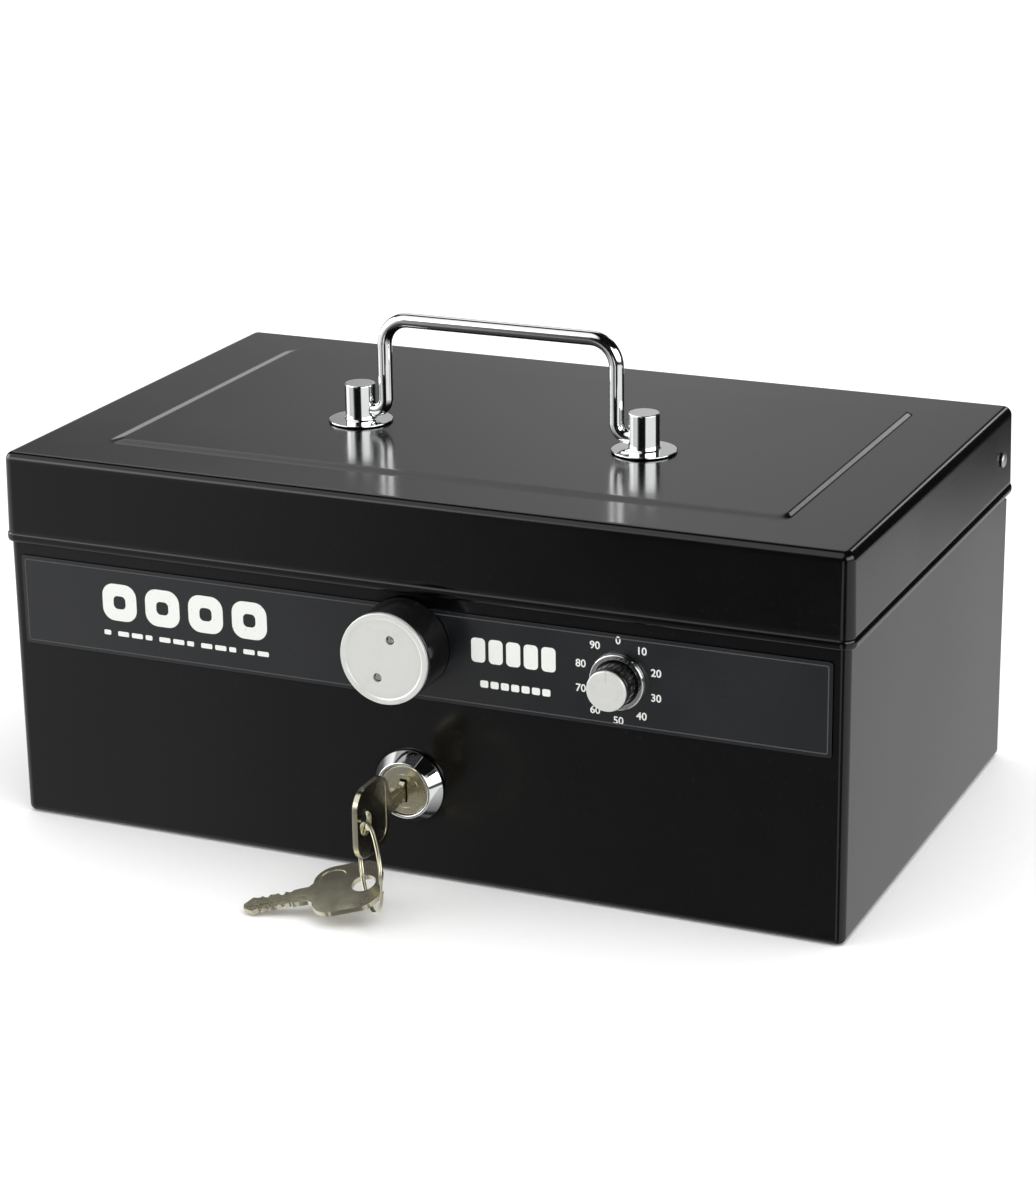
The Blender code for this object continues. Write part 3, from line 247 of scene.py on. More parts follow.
def upright(mesh_data):
    """Turns a solid made about Y so that its -Y end points up."""
    return moved(mesh_data, Matrix.Rotation(radians(-90), 4, "X"))


def crosswise(mesh_data):
    """Turns a solid made about Y so that its +Y end points towards +X."""
    return moved(mesh_data, Matrix.Rotation(radians(-90), 4, "Z"))


def round_solid(profile, rounding, place=(0, 0, 0), steps=TURN_STEPS, edge_steps=5):
    """Turned solid without a bore, whose profile has rounded corners."""
    profile = [(profile[0][0], NEAR_AXIS), *profile, (profile[-1][0], NEAR_AXIS)]
    return turned(filleted(profile, rounding, closed=False, steps=edge_steps), place, steps=steps)


def rod(radius, start, end, place=(0, 0, 0), steps=SMALL_TURN_STEPS):
    return turned([(start, radius), (end, radius)], place, steps=steps)


def hole(radius):
    """Cylinder along Y that cuts a hole through sheet metal, for a piece of some radius."""
    return rod(radius + GAP, -HOLE_REACH, HOLE_REACH)


def front_plate(outline, front, back, place=(0, 0, 0)):
    """Plate with an (x, z) outline between two depths."""
    rings = []
    for depth in (front, back):
        rings.append([(place[0] + x, depth, place[2] + z) for x, z in outline])
    return join_rings(bmesh.new(), rings)


def side_plate(outline, left, right):
    """Plate with a (y, z) outline between two x positions."""
    rings = [[(x, y, z) for y, z in outline] for x in sorted((left, right))]
    return join_rings(bmesh.new(), rings)


def block(first, second):
    """Box between two opposite corners."""
    (left, right), (front, back), (bottom, top) = map(sorted, zip(first, second))
    corners = [(left, front), (right, front), (right, back), (left, back)]
    return loft([(corners, bottom), (corners, top)])


def wire(path, radius, normal, steps):
    """Round wire along a path that keeps to one plane with the given normal."""
    rings = []
    for index, point in enumerate(path):
        before = path[max(index - 1, 0)]
        after = path[min(index + 1, len(path) - 1)]
        side = (after - before).normalized().cross(normal)
        ring = []
        for step in range(steps):
            angle = 2 * pi * step / steps
            offset = side * cos(angle) + normal * sin(angle)
            ring.append(point + offset * radius)
        rings.append(ring)
    return join_rings(bmesh.new(), rings)


def soften(mesh_data, width, above=30, segments=3):
    """Rounds every edge that is sharper than an angle in degrees."""
    bmesh.ops.remove_doubles(mesh_data, verts=mesh_data.verts, dist=WELD)
    bmesh.ops.dissolve_limit(
        mesh_data, angle_limit=FLAT, verts=mesh_data.verts, edges=mesh_data.edges
    )
    limit = radians(above)
    sharp = [worn_edge_and_highlight for worn_edge_and_highlight in mesh_data.edges if worn_edge_and_highlight.calc_face_angle(0) > limit]
    bmesh.ops.bevel(
        mesh_data, geom=sharp, offset=width, offset_type="OFFSET", segments=segments,
        profile=0.5, affect="EDGES", clamp_overlap=True,
    )
    return mesh_data


def add_object(name, data):
    obj = bpy.data.objects.new(name, data)
    bpy.context.scene.collection.objects.link(obj)
    return obj


def solid_object(name, mesh_data):
    bmesh.ops.recalc_face_normals(mesh_data, faces=mesh_data.faces)
    mesh = bpy.data.meshes.new(name)
    mesh_data.to_mesh(mesh)
    mesh_data.free()
    return add_object(name, mesh)


def evaluated(obj):
    """Object as its modifiers or its text leave it."""
    bpy.context.view_layer.update()
    return obj.evaluated_get(bpy.context.evaluated_depsgraph_get())


def carved(mesh_data, tools):
    """Mesh left after cutting tool solids away, one after another."""
    base = solid_object("carving", mesh_data)
    helpers = [solid_object("carving_tool", tool) for tool in tools]
    for helper in helpers:
        step = base.modifiers.new("carve", "BOOLEAN")
        step.operation = "DIFFERENCE"
        step.solver = "EXACT"
        step.object = helper
    result = bmesh.new()
    result.from_mesh(evaluated(base).to_mesh())
    for obj in [base, *helpers]:
        bpy.data.meshes.remove(obj.data)
    return result


def cad_copy(node):
    """Welded copy of a CAD node's mesh."""
    mesh_data = bmesh.new()
    mesh_data.from_mesh(frame["nodes"][node].data)
    bmesh.ops.remove_doubles(mesh_data, verts=mesh_data.verts, dist=WELD)
    return mesh_data


# ======== pieces


def finish_piece(name, mesh_data, slot, body, finish=None):
    """Named, shaded piece that rides on a body, in its slot's finish or a special one."""
    obj = solid_object(name, mesh_data)
    obj.data.shade_smooth()
    obj.data.set_sharp_from_angle(angle=radians(SMOOTH_BELOW))
    obj.data.materials.append(FINISHES[finish or slot])
    even = obj.modifiers.new("flat_faces_look_flat", "WEIGHTED_NORMAL")
    even.keep_sharp = True
    even.weight = 100
    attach(obj, body)
    return obj


def detailed(node, mesh_data, finish=None):
    """Finer piece that stands for a CAD node."""
    body = frame["nodes"][node]["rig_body"]
    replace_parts(finish_piece(f"{node}_fine", mesh_data, SLOT_OF[node], body, finish), node)


# ======== finishes


class Nodes:
    """Small helper that adds shader nodes to a tree and feeds their sockets."""

    def __init__(self, tree):
        self.tree = tree

    def add(self, kind, feeds=None, **settings):
        node = self.tree.nodes.new("ShaderNode" + kind)
        for field, value in settings.items():
            setattr(node, field, value)
        for socket, value in (feeds or {}).items():
            self.feed(node.inputs[socket], value)
        return node

    def feed(self, socket, value):
        """Links an output to a socket, or sets the socket's own value."""
        if isinstance(value, bpy.types.NodeSocket):
            self.tree.links.new(value, socket)
        else:
            socket.default_value = value

    def place(self, stretch=(1, 1, 1), shift=(0, 0, 0)):
        """The object's own coordinates, shifted and then stretched."""
        shifted_place = self.vector("SUBTRACT", self.add("TexCoord").outputs["Object"], shift)
        return self.vector("MULTIPLY", shifted_place, stretch)

    def vector(self, operation, first, second=(0, 0, 0)):
        node = self.add("VectorMath", {0: first, 1: second}, operation=operation)
        return node.outputs["Value" if operation in ("DOT_PRODUCT", "LENGTH") else "Vector"]

    def math(self, operation, first, second=0.0):
        return self.add("Math", {0: first, 1: second}, operation=operation).outputs[0]

    def times(self, first, second):
        return self.math("MULTIPLY", first, second)

    def noise(self, place, scale, detail=2.0, roughness=0.5):
        feeds = {"Vector": place, "Scale": scale, "Detail": detail, "Roughness": roughness}
        return self.add("TexNoise", feeds).outputs[0]

    def cells(self, place, scale):
        """A random grey value for each cell of a broken-up pattern."""
        node = self.add("TexVoronoi", {"Vector": place, "Scale": scale})
        return self.vector("DOT_PRODUCT", node.outputs["Color"], (0.33, 0.33, 0.34))

    def remap(self, value, low, high, to_low=0.0, to_high=1.0, curve="SMOOTHSTEP"):
        feeds = {"Value": value, "From Min": low, "From Max": high}
        feeds.update({"To Min": to_low, "To Max": to_high})
        return self.add("MapRange", feeds, interpolation_type=curve).outputs["Result"]

    def colour(self, share, first, second):
        first = (*first, 1) if isinstance(first, tuple) else first
        second = (*second, 1) if isinstance(second, tuple) else second
        return self.add("Mix", {0: share, 6: first, 7: second}, data_type="RGBA").outputs[2]

    def bump(self, height, depth, normal=None):
        """Normal bent by a height; depth is its relief in metres."""
        feeds = {"Strength": 1.0, "Distance": depth, "Height": height}
        if normal is not None:
            feeds["Normal"] = normal
        return self.add("Bump", feeds).outputs["Normal"]

    def open_sky(self, reach):
        """1 in the open, lower in gaps and under overhangs within a reach."""
        return self.add("AmbientOcclusion", {"Distance": reach}, samples=6).outputs["AO"]

    def edges(self, radius):
        """About 1 on convex and concave edges, 0 on broad faces."""
        rounded = self.add("Bevel", {"Radius": radius}, samples=4).outputs[0]
        facing = self.vector("DOT_PRODUCT", rounded, self.add("NewGeometry").outputs["Normal"])
        return self.remap(self.math("SUBTRACT", 1.0, facing), 0.02, 0.25)


class Finish(Nodes):
    """A procedural material: a Principled shader and the nodes that feed it."""

    def __init__(self, name):
        self.material = bpy.data.materials.new(name)
        self.material.use_nodes = True
        super().__init__(self.material.node_tree)
        self.shader = self.tree.nodes["Principled BSDF"]

    def set(self, **sockets):
        names = {
            "base": "Base Color", "roughness": "Roughness", "metallic": "Metallic",
            "normal": "Normal", "specular": "Specular IOR Level",
        }
        for field, value in sockets.items():
            self.feed(self.shader.inputs[names[field]], value)
        return self.material


def black_paint():
    """Baked enamel on pressed steel: fine orange peel, slow waves, faint marks, edges lightened
    partly as wear and partly as a painted highlight, and reflection dimmed in gaps as painted shade.
    """
    f = Finish("black_paint")
    place = f.place()
    smudge = f.noise(place, 22, 4, 0.6)
    speck = f.remap(f.noise(place, 950, 1), 0.70, 0.78)
    # Edges lightened partly as worn paint and partly as a painted highlight on the roundings
    worn_edge_and_highlight = f.times(f.edges(0.9 * MM), f.remap(f.noise(place, 160, 3), 0.42, 0.68))
    base = f.colour(smudge, (0.0006, 0.0006, 0.0006), (0.0014, 0.0014, 0.0013))
    base = f.colour(f.times(speck, 0.12), base, (0.05, 0.05, 0.052))
    base = f.colour(f.times(worn_edge_and_highlight, 0.05), base, (0.05, 0.05, 0.052))
    rough = f.remap(smudge, 0.25, 0.75, 0.14, 0.18)
    waves = f.bump(f.noise(place, 12, 0), 0.22 * MM)
    peel = f.bump(f.noise(place, 520, 2), 0.010 * MM, waves)
    # Painted shade: the reflection is dimmed in gaps and under overhangs, such as the seam under the
    # lid
    reflection_with_gap_shade = f.remap(f.open_sky(4 * MM), 0.30, 0.85, 0.05, 0.5)
    return f.set(base=base, roughness=rough, normal=peel, specular=reflection_with_gap_shade)


def label_print():
    """Dark blue-grey printed foil with a faint fleck."""
    f = Finish("label_print")
    place = f.place()
    fleck = f.cells(place, 1500)
    cloud = f.noise(place, 30, 3)
    base = f.colour(fleck, (0.0020, 0.0027, 0.0042), (0.0036, 0.0046, 0.0066))
    base = f.colour(f.times(cloud, 0.3), base, (0.0024, 0.0030, 0.0044))
    rough = f.remap(cloud, 0.3, 0.7, 0.22, 0.28)
    normal = f.bump(f.noise(place, 700, 2), 0.006 * MM, f.bump(f.noise(place, 12, 0), 0.12 * MM))
    return f.set(base=base, roughness=rough, normal=normal, specular=1.0)


def print_ink(name, light, dark):
    """Matt screen-print ink with small pinholes."""
    f = Finish(name)
    place = f.place()
    holes = f.remap(f.noise(place, 1300, 2), 0.66, 0.80)
    base = f.colour(holes, light, dark)
    grain = f.bump(f.noise(place, 1100, 2), 0.01 * MM)
    return f.set(base=base, roughness=0.55, normal=grain)


def gloss_plastic():
    """Glossy black moulding with hairline scratches."""
    f = Finish("gloss_plastic")
    place = f.place((1, 0.12, 1))
    scratch = f.remap(f.noise(place, 1400, 2), 0.55, 0.8)
    haze = f.noise(f.place(), 90, 3)
    base = f.colour(scratch, (0.006, 0.006, 0.006), (0.014, 0.014, 0.014))
    rough = f.remap(haze, 0.3, 0.7, 0.13, 0.22)
    normal = f.bump(f.noise(f.place(), 140, 2), 0.03 * MM)
    return f.set(base=base, roughness=rough, normal=normal, specular=0.5)


def moulded_plastic():
    """Spark-eroded black moulding, slightly shinier where it is rubbed."""
    f = Finish("moulded_plastic")
    place = f.place()
    grain = f.noise(place, 1700, 3, 0.6)
    rubbed = f.edges(0.8 * MM)
    base = f.colour(f.noise(place, 25, 3), (0.016, 0.016, 0.017), (0.024, 0.024, 0.025))
    base = f.colour(f.times(rubbed, 0.4), base, (0.045, 0.045, 0.047))
    rough = f.math("SUBTRACT", f.remap(grain, 0.3, 0.7, 0.48, 0.62), f.times(rubbed, 0.15))
    return f.set(base=base, roughness=rough, normal=f.bump(grain, 0.03 * MM))


def turned_metal(centre):
    """Satin silver disc with the fine circles left by turning, about a line along Y."""
    f = Finish("turned_metal")
    across = f.place((1, 0, 1), (centre[0], 0, centre[2]))
    ring_place = f.add("CombineXYZ", {"X": f.vector("LENGTH", across)}).outputs[0]
    rings = f.noise(ring_place, 2600, 3, 0.7)
    coarse = f.noise(ring_place, 520, 2)
    dull = f.noise(f.place(), 210, 3)
    base = f.colour(rings, (0.72, 0.73, 0.70), (0.90, 0.91, 0.87))
    base = f.colour(f.times(f.remap(dull, 0.5, 0.8), 0.3), base, (0.60, 0.60, 0.56))
    rough = f.remap(coarse, 0.3, 0.7, 0.34, 0.44)
    normal = f.bump(rings, 0.004 * MM)
    return f.set(base=base, roughness=rough, metallic=0.55, normal=normal)


def chrome():
    """Polished chrome plate with slight haze and shallow waves."""
    f = Finish("chrome")
    place = f.place()
    haze = f.noise(place, 240, 4, 0.6)
    base = f.colour(haze, (0.84, 0.85, 0.85), (0.93, 0.94, 0.94))
    rough = f.remap(haze, 0.35, 0.75, 0.03, 0.08)
    normal = f.bump(f.noise(place, 90, 2), 0.02 * MM)
    return f.set(base=base, roughness=rough, metallic=1.0, normal=normal)


def worn_nickel():
    """Nickel plate gone olive, with fine lengthwise scratches and darker stains."""
    f = Finish("worn_nickel")
    drag = f.noise(f.place((0.3, 0.3, 1)), 1900, 3, 0.6)
    stain = f.noise(f.place(), 120, 4, 0.6)
    base = f.colour(f.remap(stain, 0.35, 0.75), (0.64, 0.61, 0.46), (0.46, 0.43, 0.31))
    base = f.colour(f.times(drag, 0.35), base, (0.74, 0.71, 0.58))
    rough = f.remap(stain, 0.3, 0.7, 0.16, 0.28)
    normal = f.bump(drag, 0.012 * MM, f.bump(stain, 0.03 * MM))
    return f.set(base=base, roughness=rough, metallic=1.0, normal=normal)


def zinc_plate():
    """Zinc plate: small crystals, a faint warm and cool cast, fine pitting."""
    f = Finish("zinc_plate")
    place = f.place()
    crystals = f.cells(place, 260)
    cast = f.noise(place, 45, 2)
    base = f.colour(crystals, (0.46, 0.47, 0.48), (0.62, 0.63, 0.64))
    base = f.colour(f.times(cast, 0.35), base, (0.60, 0.56, 0.47))
    rough = f.remap(crystals, 0.2, 0.8, 0.32, 0.46)
    normal = f.bump(f.noise(place, 900, 2), 0.01 * MM)
    return f.set(base=base, roughness=rough, metallic=1.0, normal=normal)


FINISHES = {
    "black_paint": black_paint(),
    "label_print": label_print(),
    "black_plastic": moulded_plastic(),
    "gloss_plastic": gloss_plastic(),
    "satin_metal": turned_metal(LATCH),
    "dial_metal": turned_metal(DIAL),
    "chrome": chrome(),
    "nickel": worn_nickel(),
    "zinc": zinc_plate(),
    "white_ink": print_ink("white_ink", (0.72, 0.74, 0.70), (0.30, 0.31, 0.31)),
    # Grey ink of the label's frame, partly print and partly a painted highlight along the label's
    # edge
    "grey_ink_and_edge_highlight": print_ink("grey_ink_and_edge_highlight", (0.055, 0.058, 0.062), (0.03, 0.032, 0.035)),
}


# ======== lid and body


def lid_ring(inset, height):
    """Level of the lid at a distance inside its outer walls."""
    x = LID_HALF_WIDTH - inset
    y = LID_HALF_DEPTH - inset
    return rounded_outline(-x, x, -y, y, LID_CORNER - inset), height


def panel_ring(share, height):
    """Level of the raised panel, grown by a share of its slope, wider at the front and left."""
    grow = PANEL_SLOPE * share
    outline = rounded_outline(
        -PANEL_HALF_WIDTH - PANEL_SLOPE_WIDE * share,
        PANEL_HALF_WIDTH + grow,
        PANEL_FRONT - PANEL_SLOPE_WIDE * share,
        PANEL_BACK + grow,
        PANEL_CORNER + grow,
    )
    return outline, height


def rounded_edge(radius, inset, height, lean=0.0):
    """(inset, height) pairs from a wall, which leans in by some degrees, onto a level face."""
    return arc((inset + radius, height - radius), radius, 180 - lean, 90, EDGE_STEPS)


def panel_slope(height):
    """Levels of the soft step from the lid's top up to the raised panel."""
    levels = []
    for step in range(EDGE_STEPS + 1):
        share = step / EDGE_STEPS
        soft = share * share * (3 - 2 * share)
        rise = PANEL_RISE * (soft + share) / 2
        levels.append(panel_ring(1 - share, height + rise))
    return levels


def hem_profile():
    """(inset, height) pairs round the hem, from inside the skirt to its outer face."""
    half = HEM_HEIGHT / 2
    pairs = [(SHEET, LID_EDGE + 0.5 * MM), (SHEET * 0.8, LID_EDGE + 0.15 * MM)]
    for turn in range(-80, 81, 16):
        angle = radians(turn)
        rise = half + half * 0.98 * sin(angle)
        pairs.append((-HEM_PROUD * cos(angle), LID_EDGE + rise))
    top = LID_EDGE + HEM_HEIGHT
    return pairs + [(0.12 * MM, top + 0.1 * MM), (0.12 * MM, top + 0.3 * MM), (0, top + HEM_END)]


def lid_wall():
    """(inset, height) pairs near both ends of the lid's leaning wall, which keep it flat."""
    foot = LID_EDGE + HEM_HEIGHT + HEM_END
    head = LID_TOP - LID_TOP_RADIUS
    heights = (foot + MM, head - MM)
    return [(LID_TAPER * (height - foot) / (head - foot), height) for height in heights]


def rivet_hole(x):
    return shifted(crosswise(hole(RIVET_SHANK)), x, HINGE.y, HINGE.z)


def front_holes(y, places):
    """Cylinders that cut the front for round pieces, given as (place, radius)."""
    return [shifted(hole(radius), place.x, y, place.z) for place, radius in places]


def make_lid():
    under = PANEL_TOP - SHEET
    inner = list(reversed(panel_slope(LID_TOP - SHEET)))
    inner_edge = rounded_edge(LID_TOP_RADIUS - SHEET, SHEET, LID_TOP - SHEET)
    inner += [lid_ring(*pair) for pair in reversed(inner_edge)]
    outer_edge = rounded_edge(LID_TOP_RADIUS, LID_TAPER, LID_TOP, lean=LID_LEAN)
    outer = [lid_ring(*pair) for pair in hem_profile() + lid_wall() + outer_edge]
    lid = loft(inner + outer + panel_slope(LID_TOP))
    tools = []
    for side in (-1, 1):
        slit_foot = (side * SLIT_INNER, UPSTAND_END + MM, LID_EDGE - MM)
        outer_x = side * (LID_HALF_WIDTH - SHEET)
        tools.append(block(slit_foot, (outer_x, LID_HALF_DEPTH + MM, LID_TOP - SLIT_HEADROOM)))
        tools.append(rivet_hole(side * LID_HALF_WIDTH))
        tools.append(shifted(upright(hole(POST_STUD)), side * POST_X, HANDLE.y, under))
    detailed("lid", carved(lid, tools))


def make_body():
    inner_foot = FOOT_RADIUS - SHEET
    levels = []
    for inset, rise in reversed(rounded_edge(inner_foot, BODY_INSET + SHEET, inner_foot)):
        levels.append(lid_ring(inset, SHEET + inner_foot - rise))
    lip = SHEET / 2
    rim = arc((BODY_INSET + lip, BODY_TOP - lip), lip, 0, 180, EDGE_STEPS)
    levels += [lid_ring(*pair) for pair in rim]
    for inset, rise in rounded_edge(FOOT_RADIUS, BODY_INSET, FOOT_RADIUS):
        levels.append(lid_ring(inset, FOOT_RADIUS - rise))
    centre = (UPSTAND_END - UPSTAND_ROUND, BODY_TOP - UPSTAND_ROUND)
    beyond = LID_HALF_DEPTH + MM
    notch = [(beyond, BODY_BACK_TOP), (beyond, BODY_TOP + MM), (centre[0], BODY_TOP + MM)]
    notch += arc(centre, UPSTAND_ROUND, 90, 0, 14)
    notch += [(UPSTAND_END, BODY_BACK_TOP)]
    tools = [side_plate(notch, -LID_HALF_WIDTH - MM, LID_HALF_WIDTH + MM)]
    tools += [rivet_hole(-SIDE_INNER), rivet_hole(SIDE_INNER)]
    tools += front_holes(FRONT_OUTER, [*SPINDLES, (LOCK, BARREL_RADIUS)])
    detailed("box_body", carved(loft(levels), tools))


def dome(start, rise, radius):
    """(y, radius) pairs over a shallow dome that ends on the axis side."""
    pairs = []
    for step in range(EDGE_STEPS):
        angle = radians(90 * step / EDGE_STEPS)
        pairs.append((start + rise * sin(angle), radius * cos(angle)))
    return pairs


def make_hinge_rivets():
    """Domed rivets through the lid's skirt and the body's wall."""
    head = LID_HALF_WIDTH + GAP
    tail = SIDE_INNER - GAP
    profile = [(tail - RIVET_TAIL, RIVET_HEAD * 0.6), (tail - RIVET_TAIL * 2 / 3, RIVET_HEAD)]
    profile += [(tail, RIVET_HEAD), (tail, RIVET_SHANK), (head, RIVET_SHANK)]
    profile += dome(head, RIVET_DOME, RIVET_HEAD)
    for side, node in ((-1, "hinge_rivet_left"), (1, "hinge_rivet_right")):
        rivet = crosswise(turned(profile, steps=SMALL_TURN_STEPS))
        if side < 0:
            moved(rivet, Matrix.Rotation(pi, 4, "Z"))
        detailed(node, shifted(rivet, 0, HINGE.y, HINGE.z))


# ======== label and print

LABEL_CORNER = 1 * MM
PRINT_RISE = 0.05 * MM
BORDER_INSET = 1.1 * MM
BORDER_LINE = 0.35 * MM
DIAL_PRINT_RADIUS = 13.4 * MM
DIGIT_HEIGHT = 2.5 * MM
DIGIT_BOLD = 0.06 * MM
MARKS_LEFT = -113 * MM
MARKS_RISE = 12.3 * MM
MARK_PITCH = 16.4 * MM
MARK_SIZE = 13 * MM
MARK_CORNER = 4.4 * MM
MARK_STROKE = 4.2 * MM
MARK_HOLE_CORNER = 1.6 * MM
# Rows of bars in millimetres: count, left, pitch, rise, width, width of each third, height, rounding
BAR_ROWS = (
    (12, -113, 5.3, 6.9, 4.2, 2.6, 1.7, 0.425),
    (5, 23, 6.1, 15.5, 4.9, 4.9, 8.2, 1.4),
    (7, 26, 3.6, 7.1, 2.8, 2.8, 2.4, 0.6),
)


def label_outline(inset, radius):
    return rounded_outline(
        LABEL_LOW.x + inset, LABEL_HIGH.x - inset, LABEL_LOW.z + inset, LABEL_HIGH.z - inset, radius
    )


def make_label():
    plate = front_plate(label_outline(0, LABEL_CORNER), LABEL_LOW.y, LABEL_HIGH.y)
    plate = carved(plate, front_holes(LABEL_LOW.y, SPINDLES))
    detailed("front_label", soften(plate, 0.12 * MM))


def printed(mesh_data, outline, inner=None):
    """Adds a raised printed mark, with an inner outline of equal point count for its hole."""
    front = LABEL_LOW.y - PRINT_RISE
    back = LABEL_LOW.y + PRINT_RISE
    runs = [(outline, front), (outline, back)]
    if inner is not None:
        runs += [(inner, back), (inner, front)]
    rings = [[(x, depth, z) for x, z in points] for points, depth in runs]
    join_rings(mesh_data, rings, closed=inner is not None)


def border_line_and_edge_highlight():
    """Thin printed grey frame just inside the label's edge, which also stands in as a painted
    highlight along that edge.
    """
    outer = label_outline(BORDER_INSET, 0.8 * MM)
    lines = bmesh.new()
    printed(lines, outer, label_outline(BORDER_INSET + BORDER_LINE, 0.5 * MM))
    finish_piece("label_border", lines, "label_print", "box", "grey_ink_and_edge_highlight")


def dial_digits(mesh_data):
    """Ten numbers round the dial, 0 at the top."""
    for step in range(10):
        angle = radians(36 * step)
        text = bpy.data.curves.new("digits", "FONT")
        text.body = str(step * 10)
        text.size = DIGIT_HEIGHT * 1.42
        text.align_x = text.align_y = "CENTER"
        text.extrude = PRINT_RISE
        text.offset = DIGIT_BOLD
        holder = add_object("digits", text)
        digits = bpy.data.meshes.new_from_object(evaluated(holder))
        x, z = on_circle(DIAL, DIAL_PRINT_RADIUS, angle)
        stand = Matrix.Translation((x, LABEL_LOW.y, z)) @ Matrix.Rotation(radians(90), 4, "X")
        digits.transform(stand)
        mesh_data.from_mesh(digits)
        bpy.data.objects.remove(holder, do_unlink=True)


def ring_marks(mesh_data):
    """Four large rounded marks with a hole, in a row at the left."""
    bottom = LABEL_LOW.z + MARKS_RISE
    top = bottom + MARK_SIZE
    for index in range(4):
        left = MARKS_LEFT + index * MARK_PITCH
        outer = rounded_outline(left, left + MARK_SIZE, bottom, top, MARK_CORNER, 7)
        inner = rounded_outline(
            left + MARK_STROKE, left + MARK_SIZE - MARK_STROKE,
            bottom + MARK_STROKE, top - MARK_STROKE, MARK_HOLE_CORNER, 7,
        )
        printed(mesh_data, outer, inner)


def bars(mesh_data):
    """Rows of small bars in place of lettering."""
    for count, start, pitch, rise, width, third, height, rounding in BAR_ROWS:
        for index in range(count):
            left = (start + index * pitch) * MM
            right = left + (width if index % 3 else third) * MM
            bottom = LABEL_LOW.z + rise * MM
            top = bottom + height * MM
            printed(mesh_data, rounded_outline(left, right, bottom, top, rounding * MM, 5))


def make_print():
    marks = bmesh.new()
    dial_digits(marks)
    ring_marks(marks)
    bars(marks)
    finish_piece("label_marks", marks, "label_print", "box", "white_ink")
    border_line_and_edge_highlight()


# ======== handle

HANDLE_WIRE = (WIRE_HIGH.y - WIRE_LOW.y) / 2
HANDLE_HALF_SPAN = 42.5 * MM
HANDLE_BEND = 9 * MM
HANDLE_FOOT_BEND = 4.5 * MM
HANDLE_END_ROUNDING = 0.4 * MM
POST_RADIUS = 5.25 * MM
POST_ROUNDING = 0.6 * MM
POST_FLANGE = (POST_HIGH.x - POST_LOW.x) / 2
FLANGE_HEIGHT = 0.9 * MM
FLANGE_EDGE = 0.6 * MM


def make_handle():
    half = HANDLE_HALF_SPAN
    top = WIRE_HIGH.z - HANDLE_WIRE
    foot = HANDLE_FOOT_BEND
    right = [(WIRE_HIGH.x - HANDLE_END_ROUNDING, HANDLE.z)]
    right += arc((half + foot, HANDLE.z + foot), foot, 270, 180, 12)
    right += arc((half - HANDLE_BEND, top - HANDLE_BEND), HANDLE_BEND, 0, 90, 20)
    left = [(-x, z) for x, z in reversed(right)]
    path = [Vector((x, HANDLE.y, z)) for x, z in right + left]
    bail = wire(path, HANDLE_WIRE, Vector((0, 1, 0)), steps=40)
    detailed("carry_handle", soften(bail, HANDLE_END_ROUNDING, 60))


def make_posts():
    """Chromed posts, each with a thin flange, a bore for the handle and a stud."""
    under = PANEL_TOP + GAP
    profile = [(-POST_HIGH.z, POST_RADIUS), (-under - FLANGE_HEIGHT, POST_RADIUS)]
    profile += [(-under - FLANGE_EDGE, POST_FLANGE), (-under, POST_FLANGE)]
    profile += [(-under, POST_STUD), (-POST_LOW.z, POST_STUD)]
    for side, node in ((-1, "handle_post_left"), (1, "handle_post_right")):
        post = upright(round_solid(profile, POST_ROUNDING))
        post = shifted(post, side * POST_X, HANDLE.y, 0)
        reach = WIRE_HIGH.x - POST_X + GAP
        bore = crosswise(rod(HANDLE_WIRE + GAP, -side * 2 * POST_FLANGE, side * reach))
        detailed(node, carved(post, [shifted(bore, side * POST_X, HANDLE.y, HANDLE.z)]))


# ======== latch knob and dial


def round_extent(node):
    """Front, back and radius of a node that is round about a line along Y."""
    low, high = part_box(node)
    return low.y, high.y, (high.x - low.x) / 2


KNOB_FRONT, KNOB_BACK, KNOB_RADIUS = round_extent("latch_knob")
FACE_FRONT, FACE_BACK, FACE_RADIUS = round_extent("latch_knob_face")
DIAL_FRONT, DIAL_BACK, DIAL_RADIUS = round_extent("dial_knob")
DIAL_FACE_FRONT, DIAL_FACE_BACK, DIAL_FACE_RADIUS = round_extent("dial_face")
SKIRT_FRONT, SKIRT_BACK, SKIRT_RADIUS = round_extent("dial_skirt")
SKIRT_INNER = 7.4 * MM
SKIRT_SLOPE = 0.5 * MM
SKIRT_ROUNDING = 0.45 * MM
KNOB_ROUNDING = 0.8 * MM
KNOB_SOCKET = 4 * MM
FACE_SUNK = 0.3 * MM
FACE_RIM = 1.6 * MM
FACE_RIM_FOOT = 2 * MM
FACE_ROUNDING = 0.35 * MM
SCREW_SHANK_HOLE = 1 * MM
SCREW_HEAD_HOLE = 1.5 * MM
SCREW_SHANK = 0.7 * MM
SCREW_ROUNDING = 0.2 * MM
SLOT_DEPTH = 0.35 * MM
SLOT_HALF = 0.18 * MM
DIAL_ROUNDING = 0.5 * MM
DIAL_SOCKET = 3 * MM
DIAL_FACE_ROUNDING = 0.6 * MM
FLUTE_COUNT = 24
FLUTE_RADIUS = 0.6 * MM
FLUTE_OUT = 0.35 * MM
FLUTE_START = 1.2 * MM
POINTER_HALF = 0.3 * MM
POINTER_START = 2.6 * MM
KNOB_SCREWS = ("knob_screw_upper", "knob_screw_lower")


def axis_of(node):
    """Place of the line along Y through a node's middle."""
    low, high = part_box(node)
    return (low.x + high.x) / 2, 0, (low.z + high.z) / 2


